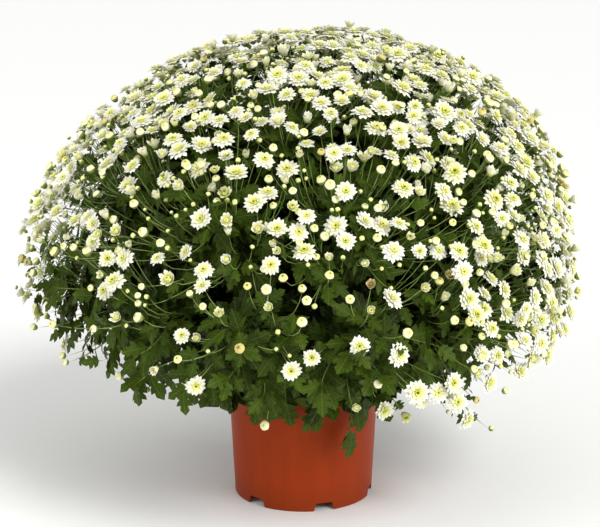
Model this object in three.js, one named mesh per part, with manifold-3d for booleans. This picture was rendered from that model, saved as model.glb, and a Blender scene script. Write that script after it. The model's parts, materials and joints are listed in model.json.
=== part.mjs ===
// A pot chrysanthemum: a broad dome of small white blooms on leafy stems that stand in a
// plastic nursery pot of soil. Millimetres, +Z up, origin at the middle of the pot's base.
import * as THREE from 'three';
import { mergeVertices } from 'three/addons/utils/BufferGeometryUtils.js';
import Module from 'manifold-3d';

const wasm = await Module();
wasm.setup();

const DEG = Math.PI / 180;
const GOLDEN_ANGLE = Math.PI * (3 - Math.sqrt(5));
const UP = new THREE.Vector3(0, 0, 1);
const SEAT_GAP = 0.3; // between pieces that rest on each other

// Pot
const POT_HEIGHT = 185;
const POT_BASE_R = 103;
const POT_TAPER = 3 * DEG;
const POT_WALL = 2.2;
const POT_SIDES = 30;
const LIP_HEIGHT = 18;
const LIP_PROUD = 2;
const FOOT_HEIGHT = 14;
const BASE_THICKNESS = 2.5;
const NOTCH_COUNT = 6;
const NOTCH_TURN = -72.6 * DEG;
const NOTCH_FOOT_WIDTH = 31;
const NOTCH_TOP_WIDTH = 25;
const NOTCH_HEIGHT = 12;
const DRAIN_R = 6;
const DRAIN_RING_R = 76;
const DRAIN_SIDES = 6;

// Soil
const SOIL_TOP = 160;
const HOLE_CLEARANCE = 0.5;
const STEM_DEPTH = 44;

// Dome: its surface is measured from one point on the axis
const DOME_MIDDLE = 300;
const CROWN_REACH = 391;
const SHOULDER_GAIN = 21;
const SKIRT_TILT = 100 * DEG;

// Leafy stems, in rings of { tilt from the axis, how many, turn of the first, soil radius }
const STEM_RINGS = [
  { tilt: 0, count: 1, turn: 0, soilR: 0 },
  { tilt: 30 * DEG, count: 6, turn: 20 * DEG, soilR: 34 },
  { tilt: 57 * DEG, count: 9, turn: 4 * DEG, soilR: 60 },
  { tilt: 84 * DEG, count: 12, turn: 15 * DEG, soilR: 82 },
];
const STEM_R = 4.5;
const STEM_SIDES = 6;
// The bushy part of a stem, as { reach from the dome's middle, half-width }
const BUSH_RINGS = [
  { reach: 172, halfWidth: 6 },
  { reach: 250, halfWidth: 32 },
  { reach: 296, halfWidth: 36 },
  { reach: 322, halfWidth: 18 },
];
const BUSH_RUFFLE = 0.36; // every other corner of the bushy part stands in by this share

// Leaves: half outline as [along, across] shares of the length, root to tip
const LEAF_OUTLINE = [[0.28, 0.2], [0.4, 0.1], [0.6, 0.36], [0.72, 0.13]];
const LEAF_LENGTH = 96;
const LEAF_HALF_THICKNESS = 1;
const LEAF_ARCH = 0.3;
const LEAF_LOBE_DROOP = 0.22;
const LEAF_ROOT_REACH = 286;
const LEAF_ROOT_OFFSET = 22;
const LEAF_SPLAY = 56 * DEG;
const LEAVES_PER_STEM = 5;
const LEAF_TURN_SPREAD = 0.5; // of the turn between two leaves
const LEAF_SPLAY_SPREAD = 12 * DEG;
const LEAF_SIZE_SPREAD = 0.2;
const RIM_LEAF_LENGTH = 66;
const RIM_LEAF_HEIGHT = 214;
const RIM_LEAF_TURN_SPREAD = 29 * DEG;
const RIM_LEAF_FALL = 0.35; // down for each unit outward
const SKIRT_LEAF_REACH = 250;
const SKIRT_LEAF_DROP = 16; // of its root, below the stem's axis
const SKIRT_LEAF_TURN_SPREAD = 34 * DEG;
const SKIRT_LEAF_FALL = 1.6;

// Flower heads
const HEAD_COUNT = 258;
const HEAD_JITTER = 2.2 * DEG;
const HEAD_SINK = 20;
const PETALS = 6;
const BLOOM_R = 24.5;
const PETAL_NOTCH = 0.74;
const PETAL_SAG = 1.7;
const BLOOM_DOME = 3.4;
const HEAD_LIFT = 0.25; // how far a head leans up from its outward direction
const CALYX_DEPTH = 5;
const PEDICEL_R = 2.1;
const BUD_R = 7.5;
const BUD_EVERY = 5;
const BUD_CLEAR = 35;
const BUD_ASIDE = 37; // towards the stem's own axis
const BUD_TURN = 120 * DEG;
const HUB_FOOT_R = 11;
const HUB_TOP_R = 28;
const HUB_HEIGHT = 8;
const PEDICEL_SPREAD = 0.14; // of a head's offset from the stem's axis, at the pedicel's root
const HUB_SIDES = 6;

// The lower front left of the dome carries few heads
const BARE_TURN = -125 * DEG;
const BARE_TILT_START = 74 * DEG;
const BARE_TILT_END = 92 * DEG;
const BARE_SHARE = 0.85;
const BARE_COSINES = [0.1, 0.75]; // of the turn away from its middle, at its edge and inside

// The draws that keep one item's chances apart
const DRAW = {
  tilt: 1, turn: 2, kept: 3, reach: 4, bud: 7, leafTurn: 11, splay: 12, size: 13, rim: 14, skirt: 15,
};

// A repeatable chance from 0 to 1
function chance(item, draw) {
  const wave = Math.sin(item * 12.9898 + draw * 78.233) * 43758.5453;
  return wave - Math.floor(wave);
}

function smoothStep(low, high, value) {
  const share = Math.min(1, Math.max(0, (value - low) / (high - low)));
  return share * share * (3 - 2 * share);
}

function direction(tilt, turn) {
  const across = Math.sin(tilt);
  return new THREE.Vector3(across * Math.cos(turn), across * Math.sin(turn), Math.cos(tilt));
}

function domePoint(tilt, turn, reach) {
  return direction(tilt, turn).multiplyScalar(reach).add(new THREE.Vector3(0, 0, DOME_MIDDLE));
}

function domeReach(tilt) {
  return CROWN_REACH + SHOULDER_GAIN * Math.sin(tilt) ** 2;
}

// --- Solids ---------------------------------------------------------------------------

function solidFrom(points, triangles) {
  const vertProperties = new Float32Array(points.flatMap((point) => point.toArray()));
  const triVerts = new Uint32Array(triangles.flat());
  return new wasm.Manifold(new wasm.Mesh({ numProp: 3, vertProperties, triVerts }));
}

function solidFromGeometry(geometry) {
  geometry.deleteAttribute('normal');
  geometry.deleteAttribute('uv');
  const merged = mergeVertices(geometry, 1e-4);
  return new wasm.Manifold(new wasm.Mesh({
    numProp: 3,
    vertProperties: new Float32Array(merged.getAttribute('position').array),
    triVerts: new Uint32Array(merged.getIndex().array),
  }));
}

function geometryFrom(solid) {
  const mesh = solid.getMesh();
  const geometry = new THREE.BufferGeometry();
  geometry.setAttribute('position', new THREE.BufferAttribute(mesh.vertProperties, 3));
  geometry.setIndex(new THREE.BufferAttribute(mesh.triVerts, 1));
  geometry.computeVertexNormals();
  return geometry;
}

function join(solids) {
  return solids.reduce((whole, solid) => whole.add(solid));
}

// A closed loft through rings of one number of points, in turning order about the path
function loft(rings) {
  const sides = rings[0].length;
  const triangles = [];
  for (let ring = 0; ring < rings.length - 1; ring += 1) {
    for (let side = 0; side < sides; side += 1) {
      const here = ring * sides + side;
      const next = ring * sides + (side + 1) % sides;
      triangles.push([here, next, next + sides], [here, next + sides, here + sides]);
    }
  }
  const last = (rings.length - 1) * sides;
  for (let side = 1; side < sides - 1; side += 1) {
    triangles.push([0, side + 1, side], [last, last + side, last + side + 1]);
  }
  return solidFrom(rings.flat(), triangles);
}

// Two unit vectors square to an axis, the first one level
function squareTo(axis) {
  const level = new THREE.Vector3().crossVectors(UP, axis);
  const first = level.length() > 1e-3 ? level.normalize() : new THREE.Vector3(1, 0, 0);
  return [first, new THREE.Vector3().crossVectors(axis, first)];
}

// Points of a ring about an axis; radius is a number or a function of the corner
function ringOf(middle, axis, radius, sides, twist = 0) {
  const [first, second] = squareTo(axis);
  return Array.from({ length: sides }, (unused, corner) => {
    const turn = twist + (corner * 2 * Math.PI) / sides;
    const size = typeof radius === 'function' ? radius(corner) : radius;
    return middle.clone()
      .addScaledVector(first, size * Math.cos(turn))
      .addScaledVector(second, size * Math.sin(turn));
  });
}

// --- Pot ------------------------------------------------------------------------------

function potOuterR(height) {
  return POT_BASE_R + height * Math.tan(POT_TAPER);
}

function potInnerR(height) {
  return potOuterR(height) - POT_WALL;
}

function makePot() {
  const floorTop = FOOT_HEIGHT + BASE_THICKNESS;
  const lipFoot = POT_HEIGHT - LIP_HEIGHT;
  const profile = [
    [0, FOOT_HEIGHT],
    [potInnerR(FOOT_HEIGHT), FOOT_HEIGHT],
    [potInnerR(0), 0],
    [potOuterR(0), 0],
    [potOuterR(lipFoot), lipFoot],
    [potOuterR(lipFoot) + LIP_PROUD, lipFoot],
    [potOuterR(POT_HEIGHT) + LIP_PROUD, POT_HEIGHT],
    [potInnerR(POT_HEIGHT), POT_HEIGHT],
    [potInnerR(floorTop), floorTop],
    [0, floorTop],
  ].map(([radius, height]) => new THREE.Vector2(radius, height));
  const lathe = new THREE.LatheGeometry(profile, POT_SIDES).rotateX(Math.PI / 2);
  const cuts = [];
  for (let notch = 0; notch < NOTCH_COUNT; notch += 1) {
    const turn = NOTCH_TURN + (notch * 2 * Math.PI) / NOTCH_COUNT;
    cuts.push(makeNotch().rotateZ(turn), makeDrainHole().rotateZ(turn));
  }
  return cuts.map(solidFromGeometry)
    .reduce((pot, cut) => pot.subtract(cut), solidFromGeometry(lathe));
}

// A tapered slot through the foot at +X, from below the floor up to the notch height
function makeNotch() {
  const below = -1;
  const shape = new THREE.Shape([
    new THREE.Vector2(-NOTCH_FOOT_WIDTH / 2, below),
    new THREE.Vector2(NOTCH_FOOT_WIDTH / 2, below),
    new THREE.Vector2(NOTCH_TOP_WIDTH / 2, NOTCH_HEIGHT),
    new THREE.Vector2(-NOTCH_TOP_WIDTH / 2, NOTCH_HEIGHT),
  ]);
  const depth = 6 * POT_WALL;
  return new THREE.ExtrudeGeometry(shape, { depth, bevelEnabled: false })
    .rotateX(Math.PI / 2)
    .rotateZ(Math.PI / 2)
    .translate(POT_BASE_R - depth / 2, 0, 0);
}

function makeDrainHole() {
  return new THREE.CylinderGeometry(DRAIN_R, DRAIN_R, 4 * BASE_THICKNESS, DRAIN_SIDES)
    .rotateX(Math.PI / 2)
    .translate(DRAIN_RING_R, 0, FOOT_HEIGHT);
}

// --- Soil -----------------------------------------------------------------------------

function makeSoil(stems) {
  const bottom = FOOT_HEIGHT + BASE_THICKNESS + SEAT_GAP;
  const profile = [
    [0, bottom],
    [potInnerR(bottom) - SEAT_GAP, bottom],
    [potInnerR(SOIL_TOP) - SEAT_GAP, SOIL_TOP],
    [0, SOIL_TOP],
  ].map(([radius, height]) => new THREE.Vector2(radius, height));
  const lathe = new THREE.LatheGeometry(profile, POT_SIDES).rotateX(Math.PI / 2);
  const holes = stems.map((stem) => stemHole(stem));
  return holes.reduce((soil, hole) => soil.subtract(hole), solidFromGeometry(lathe));
}

function stemHole(stem) {
  const radius = STEM_R + HOLE_CLEARANCE;
  const bottom = stem.foot.clone().addScaledVector(stem.rise, -SEAT_GAP);
  const top = stem.foot.clone().addScaledVector(stem.rise, 2 * STEM_DEPTH);
  return loft([bottom, top].map((middle) => ringOf(middle, stem.rise, radius, STEM_SIDES)));
}

// --- Leafy stems ----------------------------------------------------------------------

function listStems() {
  return STEM_RINGS.flatMap((ring) => Array.from({ length: ring.count }, (unused, place) => {
    const turn = ring.turn + (place * 2 * Math.PI) / ring.count;
    const axis = direction(ring.tilt, turn);
    const soilPoint = direction(90 * DEG, turn).multiplyScalar(ring.soilR).setZ(SOIL_TOP);
    const bushFoot = domePoint(ring.tilt, turn, BUSH_RINGS[0].reach);
    const rise = bushFoot.clone().sub(soilPoint).normalize();
    const foot = soilPoint.clone().addScaledVector(rise, -STEM_DEPTH);
    return { ring, turn, axis, rise, foot, bushFoot, heads: [], buds: [] };
  }));
}

function makeBush(stem) {
  const ruffle = (halfWidth) => (corner) => halfWidth * (corner % 2 ? 1 : 1 - BUSH_RUFFLE);
  const rings = [ringOf(stem.foot, stem.rise, STEM_R, STEM_SIDES)];
  rings.push(ringOf(stem.bushFoot, stem.rise, STEM_R, STEM_SIDES));
  for (const { reach, halfWidth } of BUSH_RINGS.slice(1)) {
    const middle = domePoint(stem.ring.tilt, stem.turn, reach);
    rings.push(ringOf(middle, stem.axis, ruffle(halfWidth), STEM_SIDES));
  }
  return loft(rings);
}

// A lobed blade: both faces fan out from the middle of the rib to one sharp, arched edge
function makeLeaf(root, along, face, length) {
  const across = new THREE.Vector3().crossVectors(face, along).normalize();
  const out = new THREE.Vector3().crossVectors(along, across).normalize();
  const place = (share, side, lift = 0) => root.clone()
    .addScaledVector(along, share * length)
    .addScaledVector(across, side * length)
    .addScaledVector(out, lift - length * (LEAF_ARCH * share ** 2 + LEAF_LOBE_DROOP * Math.abs(side)));
  const rightSide = LEAF_OUTLINE.map(([share, side]) => place(share, -side));
  const leftSide = LEAF_OUTLINE.map(([share, side]) => place(share, side)).reverse();
  const edge = [place(0, 0), ...rightSide, place(1, 0), ...leftSide];
  const points = [...edge, place(0.5, 0, LEAF_HALF_THICKNESS), place(0.5, 0, -LEAF_HALF_THICKNESS)];
  const triangles = edge.flatMap((unused, corner) => {
    const next = (corner + 1) % edge.length;
    return [[corner, next, edge.length], [next, corner, edge.length + 1]];
  });
  return solidFrom(points, triangles);
}

// Leaves that splay out of the bushy part, evenly round it
function bushLeaves(stem, number) {
  const [first, second] = squareTo(stem.axis);
  return Array.from({ length: LEAVES_PER_STEM }, (unused, leaf) => {
    const item = number * LEAVES_PER_STEM + leaf;
    const step = leaf + LEAF_TURN_SPREAD * chance(item, DRAW.leafTurn);
    const turn = (step * 2 * Math.PI) / LEAVES_PER_STEM + number;
    const side = first.clone().multiplyScalar(Math.cos(turn))
      .addScaledVector(second, Math.sin(turn));
    const splay = LEAF_SPLAY + LEAF_SPLAY_SPREAD * (chance(item, DRAW.splay) - 0.5);
    const along = stem.axis.clone().multiplyScalar(Math.cos(splay))
      .addScaledVector(side, Math.sin(splay));
    const root = domePoint(stem.ring.tilt, stem.turn, LEAF_ROOT_REACH)
      .addScaledVector(side, LEAF_ROOT_OFFSET);
    const size = 1 + LEAF_SIZE_SPREAD * (chance(item, DRAW.size) - 0.5);
    return { root, along, face: stem.axis, length: LEAF_LENGTH * size };
  });
}

// A leaf that hangs over the pot's rim from each outer stem
function rimLeaf(stem, number) {
  const share = (RIM_LEAF_HEIGHT - stem.foot.z) / stem.rise.z;
  const root = stem.foot.clone().addScaledVector(stem.rise, share);
  const aside = RIM_LEAF_TURN_SPREAD * (chance(number, DRAW.rim) - 0.5);
  const outward = direction(90 * DEG, stem.turn + aside);
  const along = outward.clone().addScaledVector(UP, -RIM_LEAF_FALL).normalize();
  return { root, along, face: outward.clone().add(UP), length: RIM_LEAF_LENGTH };
}

// A leaf that hangs from under the bushy part of each outer stem
function skirtLeaf(stem, number) {
  const root = domePoint(stem.ring.tilt, stem.turn, SKIRT_LEAF_REACH)
    .addScaledVector(UP, -SKIRT_LEAF_DROP);
  const aside = SKIRT_LEAF_TURN_SPREAD * (chance(number, DRAW.skirt) - 0.5);
  const outward = direction(90 * DEG, stem.turn + aside);
  const along = outward.clone().addScaledVector(UP, -SKIRT_LEAF_FALL).normalize();
  return { root, along, face: outward, length: LEAF_LENGTH };
}

// --- Sprays ---------------------------------------------------------------------------

function headShare(tilt, turn) {
  const low = smoothStep(BARE_TILT_START, BARE_TILT_END, tilt);
  const near = smoothStep(...BARE_COSINES, Math.cos(turn - BARE_TURN));
  return 1 - BARE_SHARE * low * near;
}

// Heads spread by the golden angle, each one given to the nearest stem
function placeHeads(stems) {
  for (let head = 0; head < HEAD_COUNT; head += 1) {
    const level = 1 - ((head + 0.5) / HEAD_COUNT) * (1 - Math.cos(SKIRT_TILT));
    const tilt = Math.acos(level) + HEAD_JITTER * (chance(head, DRAW.tilt) - 0.5);
    const aside = (HEAD_JITTER * (chance(head, DRAW.turn) - 0.5)) / Math.sin(tilt);
    const turn = head * GOLDEN_ANGLE + aside;
    if (chance(head, DRAW.kept) < headShare(tilt, turn)) {
      const outward = direction(tilt, turn);
      const stem = nearestStem(stems, outward);
      const reach = domeReach(tilt) - HEAD_SINK * chance(head, DRAW.reach);
      stem.heads.push({ head, outward, middle: domePoint(tilt, turn, reach) });
    }
  }
}

// A bud beside every few heads, towards the stem's axis, where no other head is near
function placeBuds(stems) {
  const taken = stems.flatMap((stem) => stem.heads.map((head) => head.middle));
  for (const stem of stems) {
    for (const { head, outward, middle } of stem.heads) {
      const inward = stem.axis.clone().projectOnPlane(outward).normalize();
      const turn = BUD_TURN * (chance(head, DRAW.bud) - 0.5);
      const aside = inward.applyAxisAngle(outward, turn);
      const bud = middle.clone().addScaledVector(aside, BUD_ASIDE);
      const free = taken.every((other) => other.distanceTo(bud) > BUD_CLEAR);
      if (head % BUD_EVERY === 0 && free) {
        stem.buds.push({ outward, middle: bud });
        taken.push(bud);
      }
    }
  }
}

function nearestStem(stems, outward) {
  return stems.reduce((best, stem) => (
    stem.axis.dot(outward) > best.axis.dot(outward) ? stem : best));
}

function hubFoot(stem) {
  const reach = BUSH_RINGS[BUSH_RINGS.length - 1].reach + SEAT_GAP;
  return domePoint(stem.ring.tilt, stem.turn, reach);
}

// Triangles between an outer and an inner ring whose counts divide evenly
function stitch(outer, inner, outerStart, innerStart) {
  const share = outer / inner;
  return Array.from({ length: outer }, (unused, corner) => {
    const next = (corner + 1) % outer;
    const near = innerStart + Math.floor(corner / share);
    const faces = [[outerStart + next, outerStart + corner, near]];
    if (Math.floor(next / share) !== Math.floor(corner / share)) {
      const far = innerStart + (Math.floor(corner / share) + 1) % inner;
      faces.push([outerStart + next, near, far]);
    }
    return faces;
  }).flat();
}

// A bloom is a star of creased petals, and a bud a pointed ball. Either narrows into a
// three-sided pedicel, whose open foot is the first three points of its skin.
function makeHead({ root, middle, face, twist, corners, radius, sag, height, depth }, axis) {
  const rim = ringOf(middle, face, radius, corners, twist);
  rim.forEach((point, corner) => point.addScaledVector(face, corner % 2 ? -sag : 0));
  const heart = middle.clone().addScaledVector(face, height);
  const calyx = middle.clone().addScaledVector(face, -depth);
  const neck = ringOf(calyx, face, PEDICEL_R, 3, twist + Math.PI * (1 / 3 - 1 / corners));
  const foot = neck.map((point) => {
    const offset = point.clone().sub(calyx).projectOnPlane(axis).setLength(PEDICEL_R);
    return offset.add(root);
  });
  const [neckStart, rimStart, heartAt] = [3, 6, 6 + corners];
  const triangles = rim.map((unused, corner) => (
    [rimStart + corner, rimStart + ((corner + 1) % corners), heartAt]));
  triangles.push(...stitch(corners, 3, rimStart, neckStart), ...stitch(3, 3, neckStart, 0));
  return { points: [...foot, ...neck, ...rim, heart], triangles };
}

function bloomShape(head) {
  const radius = (corner) => BLOOM_R * (corner % 2 ? PETAL_NOTCH : 1);
  return {
    corners: 2 * PETALS, radius, sag: PETAL_SAG, height: BLOOM_DOME, depth: CALYX_DEPTH, twist: head,
  };
}

function budShape() {
  return { corners: 6, radius: BUD_R, sag: 0, height: BUD_R, depth: BUD_R, twist: 0 };
}

// All heads of a stem, with the place of each pedicel's root on the hub
function listHeads(stem, hubTop) {
  const place = ({ outward, middle }) => ({
    middle,
    face: outward.clone().addScaledVector(UP, HEAD_LIFT).normalize(),
    root: hubTop.clone()
      .addScaledVector(middle.clone().sub(hubTop).projectOnPlane(stem.axis), PEDICEL_SPREAD),
  });
  return [
    ...stem.heads.map((head) => ({ ...place(head), ...bloomShape(head.head) })),
    ...stem.buds.map((bud) => ({ ...place(bud), ...budShape() })),
  ];
}

// A spray: a flaring disc, and heads whose pedicels rise from openings in its top face
function makeSpray(stem) {
  const foot = hubFoot(stem);
  const top = foot.clone().addScaledVector(stem.axis, HUB_HEIGHT);
  const lower = ringOf(foot, stem.axis, HUB_FOOT_R, HUB_SIDES);
  const upper = ringOf(top, stem.axis, HUB_TOP_R, HUB_SIDES);
  const points = [...upper];
  const triangles = [];
  const openings = [];
  const topCorners = upper.map((unused, side) => side);
  for (const head of listHeads(stem, top)) {
    const part = makeHead(head, stem.axis);
    const start = points.length;
    openings.push(part.points.slice(0, 3));
    topCorners.push(start, start + 1, start + 2);
    points.push(...part.points);
    triangles.push(...part.triangles.map((corners) => corners.map((corner) => start + corner)));
  }
  const [first, second] = squareTo(stem.axis);
  const flat = (ring) => ring.map((point) => {
    const offset = point.clone().sub(top);
    return new THREE.Vector2(offset.dot(first), offset.dot(second));
  });
  const faces = THREE.ShapeUtils.triangulateShape(flat(upper), openings.map(flat));
  triangles.push(...faces.map((corners) => corners.map((corner) => topCorners[corner])));
  const lowerStart = points.length;
  points.push(...lower);
  triangles.push(...stitch(HUB_SIDES, HUB_SIDES, 0, lowerStart));
  for (let side = 1; side < HUB_SIDES - 1; side += 1) {
    triangles.push([lowerStart, lowerStart + side + 1, lowerStart + side]);
  }
  return solidFrom(points, triangles);
}

// --- Assembly -------------------------------------------------------------------------

const group = new THREE.Group();

function addPiece(name, solid, colour, roughness) {
  const material = new THREE.MeshStandardMaterial({ color: colour, roughness, metalness: 0 });
  const mesh = new THREE.Mesh(geometryFrom(solid), material);
  mesh.name = name;
  group.add(mesh);
}

function crosses(solid, others) {
  return others.some((other) => solid.intersect(other).volume() > 0);
}

const stems = listStems();
placeHeads(stems);
placeBuds(stems);
const sprays = stems.map(makeSpray);
const bushes = stems.map(makeBush);
stems.forEach((stem, number) => {
  const wishes = bushLeaves(stem, number);
  if (stem.ring === STEM_RINGS[STEM_RINGS.length - 1]) {
    wishes.push(rimLeaf(stem, number), skirtLeaf(stem, number));
  }
  const others = [...sprays, ...bushes.filter((unused, other) => other !== number)];
  const leaves = wishes.map(({ root, along, face, length }) => makeLeaf(root, along, face, length))
    .filter((leaf) => !crosses(leaf, others));
  bushes[number] = join([bushes[number], ...leaves]);
});

addPiece('pot', makePot(), 0x9a4226, 0.5);
addPiece('soil', makeSoil(stems), 0x2e2117, 1);
stems.forEach((unused, number) => {
  const label = String(number + 1).padStart(2, '0');
  addPiece(`leafy_stem_${label}`, bushes[number], 0x3f5a26, 0.65);
  addPiece(`spray_${label}`, sprays[number], 0xeef0df, 0.6);
});

export default group;
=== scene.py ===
"""Pot chrysanthemum: a broad dome of small double white blooms on leafy stems, in a nursery pot.

Metres, +Z up, the middle of the pot's foot at the origin. Each operator makes one piece, or a
group of like pieces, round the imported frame.
"""

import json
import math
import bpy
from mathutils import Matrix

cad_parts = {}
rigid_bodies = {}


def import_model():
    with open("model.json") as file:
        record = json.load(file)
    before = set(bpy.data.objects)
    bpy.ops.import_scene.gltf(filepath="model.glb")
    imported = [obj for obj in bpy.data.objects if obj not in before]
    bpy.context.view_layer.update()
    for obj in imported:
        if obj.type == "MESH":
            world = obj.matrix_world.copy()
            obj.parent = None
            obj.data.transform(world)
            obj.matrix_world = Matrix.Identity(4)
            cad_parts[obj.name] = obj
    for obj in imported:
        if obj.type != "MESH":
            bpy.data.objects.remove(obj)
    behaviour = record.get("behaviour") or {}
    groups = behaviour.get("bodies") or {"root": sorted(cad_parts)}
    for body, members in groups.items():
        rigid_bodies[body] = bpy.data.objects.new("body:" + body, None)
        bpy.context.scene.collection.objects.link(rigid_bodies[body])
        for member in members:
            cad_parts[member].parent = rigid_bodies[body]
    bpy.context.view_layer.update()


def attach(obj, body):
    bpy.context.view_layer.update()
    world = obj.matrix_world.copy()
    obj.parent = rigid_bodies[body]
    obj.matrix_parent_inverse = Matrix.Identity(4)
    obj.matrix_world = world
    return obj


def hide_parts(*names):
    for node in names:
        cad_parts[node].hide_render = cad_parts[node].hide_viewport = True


bl_info = {
    "name": "Pot chrysanthemum",
    "version": (1, 0, 0),
    "blender": (4, 5, 0),
    "location": "View3D > Sidebar > Chrysanthemum",
    "description": "Makes a flowering pot chrysanthemum: pot, mix, stems, leaves, blooms and buds",
    "category": "Object",
}

from functools import lru_cache

import bpy
import numpy as np
from bpy.props import FloatProperty, FloatVectorProperty, PointerProperty

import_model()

UP = np.array([0.0, 0.0, 1.0])
BLACK = (0, 0, 0)
GOLDEN_ANGLE = math.pi * (3 - math.sqrt(5))
MM = 0.001
SEED = 7
HEAD_SEED = 18

# Stems in rings: tilt from the axis, how many, turn of the first, radius at the mix
STEM_RINGS = (
    (0.0, 1, 0.0, 0.0),
    (math.radians(30), 6, math.radians(20), 34 * MM),
    (math.radians(57), 9, math.radians(4), 60 * MM),
    (math.radians(84), 12, math.radians(15), 82 * MM),
)
STEM_COUNT = 28
FIRST_OUTER = 16  # the first stem of the outer ring
MIX_HEIGHT = 0.160
STEM_DEPTH = 44 * MM  # of a stem's foot in the mix
FORK_REACH = 172 * MM  # where a stem turns to its own direction in the dome
STEM_END_REACH = 306 * MM

# The three tiers of the dome, each with the stems that carry it
TIERS = (("crown", 0, 7), ("shoulder", 7, FIRST_OUTER), ("skirt", FIRST_OUTER, STEM_COUNT))
WHOLE_DOME = (("all", 0, STEM_COUNT),)

OPEN, HALF_OPEN, YOUNG, BUD = range(4)
DEPTHS = np.array([0.38, 0.42, 0.5, 0.85])  # of each kind under its middle, in its radii
HEAD_LIFT = 0.4  # how far a head leans up from its outward direction
STALK_LIFT = 0.42  # how far a low head's stalk rises upright before its head

# Leading heads, spread by the golden angle, and places for side heads round each of them
HEAD_COUNT = 258
HEAD_JITTER = math.radians(2.2)
SKIRT_TILT = math.radians(100)
SIDE_HEADS = 9
SIDE_REACH = 50 * MM
LOWEST_TILT = math.radians(103)

# Heads of hanging sprays: tilt and turn in degrees, mm from the dome's middle, and kind
HANGING_HEADS = (
    (106, -68, 305, OPEN), (108, -62, 309, HALF_OPEN), (112, -41, 330, OPEN),
    (107, -39, 326, YOUNG), (113, -36, 356, BUD), (103, -52, 322, HALF_OPEN),
    (101, -36, 332, YOUNG), (109, -48, 318, BUD), (99, -119, 318, OPEN),
    (100, -141, 330, YOUNG), (103, -134, 318, BUD), (108, -100, 318, YOUNG),
    (89, -91, 382, OPEN), (86, -87, 392, OPEN), (104, -20, 338, YOUNG),
    (106, 28, 330, OPEN), (104, 84, 334, HALF_OPEN), (107, 131, 322, OPEN),
    (105, 170, 330, YOUNG),
)

UNDER_SHOOTS = 46  # leafy shoots that hang under the skirt

# Leafy shoots over the pot's lip: turn in degrees, and mm of each end from the pot's axis and foot
LIP_SHOOTS = (
    (-119, 137, 182), (-101, 138, 178), (-82, 139, 170), (-60, 141, 142), (-37, 138, 168),
    (-141, 138, 186), (-3, 139, 172), (38, 140, 160), (84, 138, 175), (127, 140, 158),
    (166, 139, 176),
)
LIP_SHOOT_ROOT = 0.205  # height at which they leave their stems

# Single leaves that hang over the lip, and between which heights they leave the outer stems
RIM_LEAVES = 44
RIM_HEIGHTS = (0.198, 0.238)


# --- Numbers and colours ---------------------------------------------------------------------


def linear(colour):
    """A hex colour as linear light: c / 12.92 up to 0.04045, else ((c + 0.055) / 1.055)^2.4."""
    channels = [int(colour[at : at + 2], 16) / 255 for at in (1, 3, 5)]
    return tuple(c / 12.92 if c <= 0.04045 else ((c + 0.055) / 1.055) ** 2.4 for c in channels)


def mixed(first, second, share):
    """The colour `share` of the way from the first to the second."""
    return tuple(a + (b - a) * share for a, b in zip(first, second))


def chance(item, draw):
    """A repeatable share from 0 to 1: what follows the point in
    43758.5453 sin(12.9898 item + 78.233 draw)."""
    wave = np.sin(item * 12.9898 + draw * 78.233) * 43758.5453
    return wave - np.floor(wave)


def smooth_step(low, high, value):
    """0 up to low, 1 from high, and t t (3 - 2 t) between them."""
    share = np.clip((value - low) / (high - low), 0, 1)
    return share * share * (3 - 2 * share)


def tilt_step(low, high, tilt):
    """A smooth step between two tilts that are given in degrees."""
    return smooth_step(math.radians(low), math.radians(high), tilt)


def side_step(low, high, turn, side):
    """How far a turn looks to a side, given in degrees: a smooth step in cos(turn - side)."""
    return smooth_step(low, high, np.cos(turn - math.radians(side)))


def unit(vectors):
    """Each vector divided by its own length."""
    return vectors / np.maximum(np.linalg.norm(vectors, axis=-1, keepdims=True), 1e-12)


def dot(first, second):
    """The dot product of each pair, kept as a column."""
    return np.sum(first * second, axis=-1, keepdims=True)


def direction(tilt, turn):
    """(sin tilt cos turn, sin tilt sin turn, cos tilt)."""
    tilt, turn = np.broadcast_arrays(tilt, turn)
    across = np.sin(tilt)
    return np.stack([across * np.cos(turn), across * np.sin(turn), np.cos(tilt)], axis=-1)


def square_to(axes):
    """Two unit vectors square to each axis: up x axis, which is level, and axis x level."""
    level = np.cross(UP, axes)
    upright = np.linalg.norm(level, axis=-1, keepdims=True) < 1e-3
    level = unit(np.where(upright, [1.0, 0.0, 0.0], level))
    return level, np.cross(axes, level)


def around(axes, turn):
    """cos turn u + sin turn v, where u and v are the two vectors square to each axis."""
    first, second = square_to(axes)
    return np.cos(turn) * first + np.sin(turn) * second


def squared(vectors, axes):
    """Each vector less its part along an axis, made unit."""
    return unit(vectors - dot(vectors, axes) * axes)


def frames_of(along, upper):
    """Frames whose columns are along, upper x along, and upper."""
    return np.stack([along, np.cross(upper, along), upper], axis=-1)


def bezier(controls, share):
    """Points of cubic curves: (1-t)^3 a + 3 (1-t)^2 t b + 3 (1-t) t^2 c + t^3 d."""
    t = np.asarray(share)[..., None]
    a, b, c, d = (controls[:, None, at] for at in range(4))
    return (1 - t) ** 3 * a + 3 * (1 - t) ** 2 * t * b + 3 * (1 - t) * t * t * c + t**3 * d


def bezier_way(controls, share):
    """Unit directions of cubic curves: 3 (1-t)^2 (b-a) + 6 (1-t) t (c-b) + 3 t^2 (d-c)."""
    t = np.asarray(share)[..., None]
    a, b, c, d = (controls[:, None, at] for at in range(4))
    return unit(3 * (1 - t) ** 2 * (b - a) + 6 * (1 - t) * t * (c - b) + 3 * t * t * (d - c))


# --- Skins: points, faces, finishes and values ------------------------------------------------


class Skin:
    """Points (n, 3), faces (m, 4) where a three-cornered one ends in -1, the finish of each face,
    and named values of each point."""

    def __init__(self, points, faces, finish=0, **values):
        self.points = np.asarray(points, float).reshape(-1, 3)
        self.faces = np.asarray(faces, np.int64).reshape(-1, 4)
        self.finish = np.broadcast_to(finish, len(self.faces))
        self.values = {
            name: np.broadcast_to(np.ravel(value), len(self.points))
            for name, value in values.items()
        }


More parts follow.
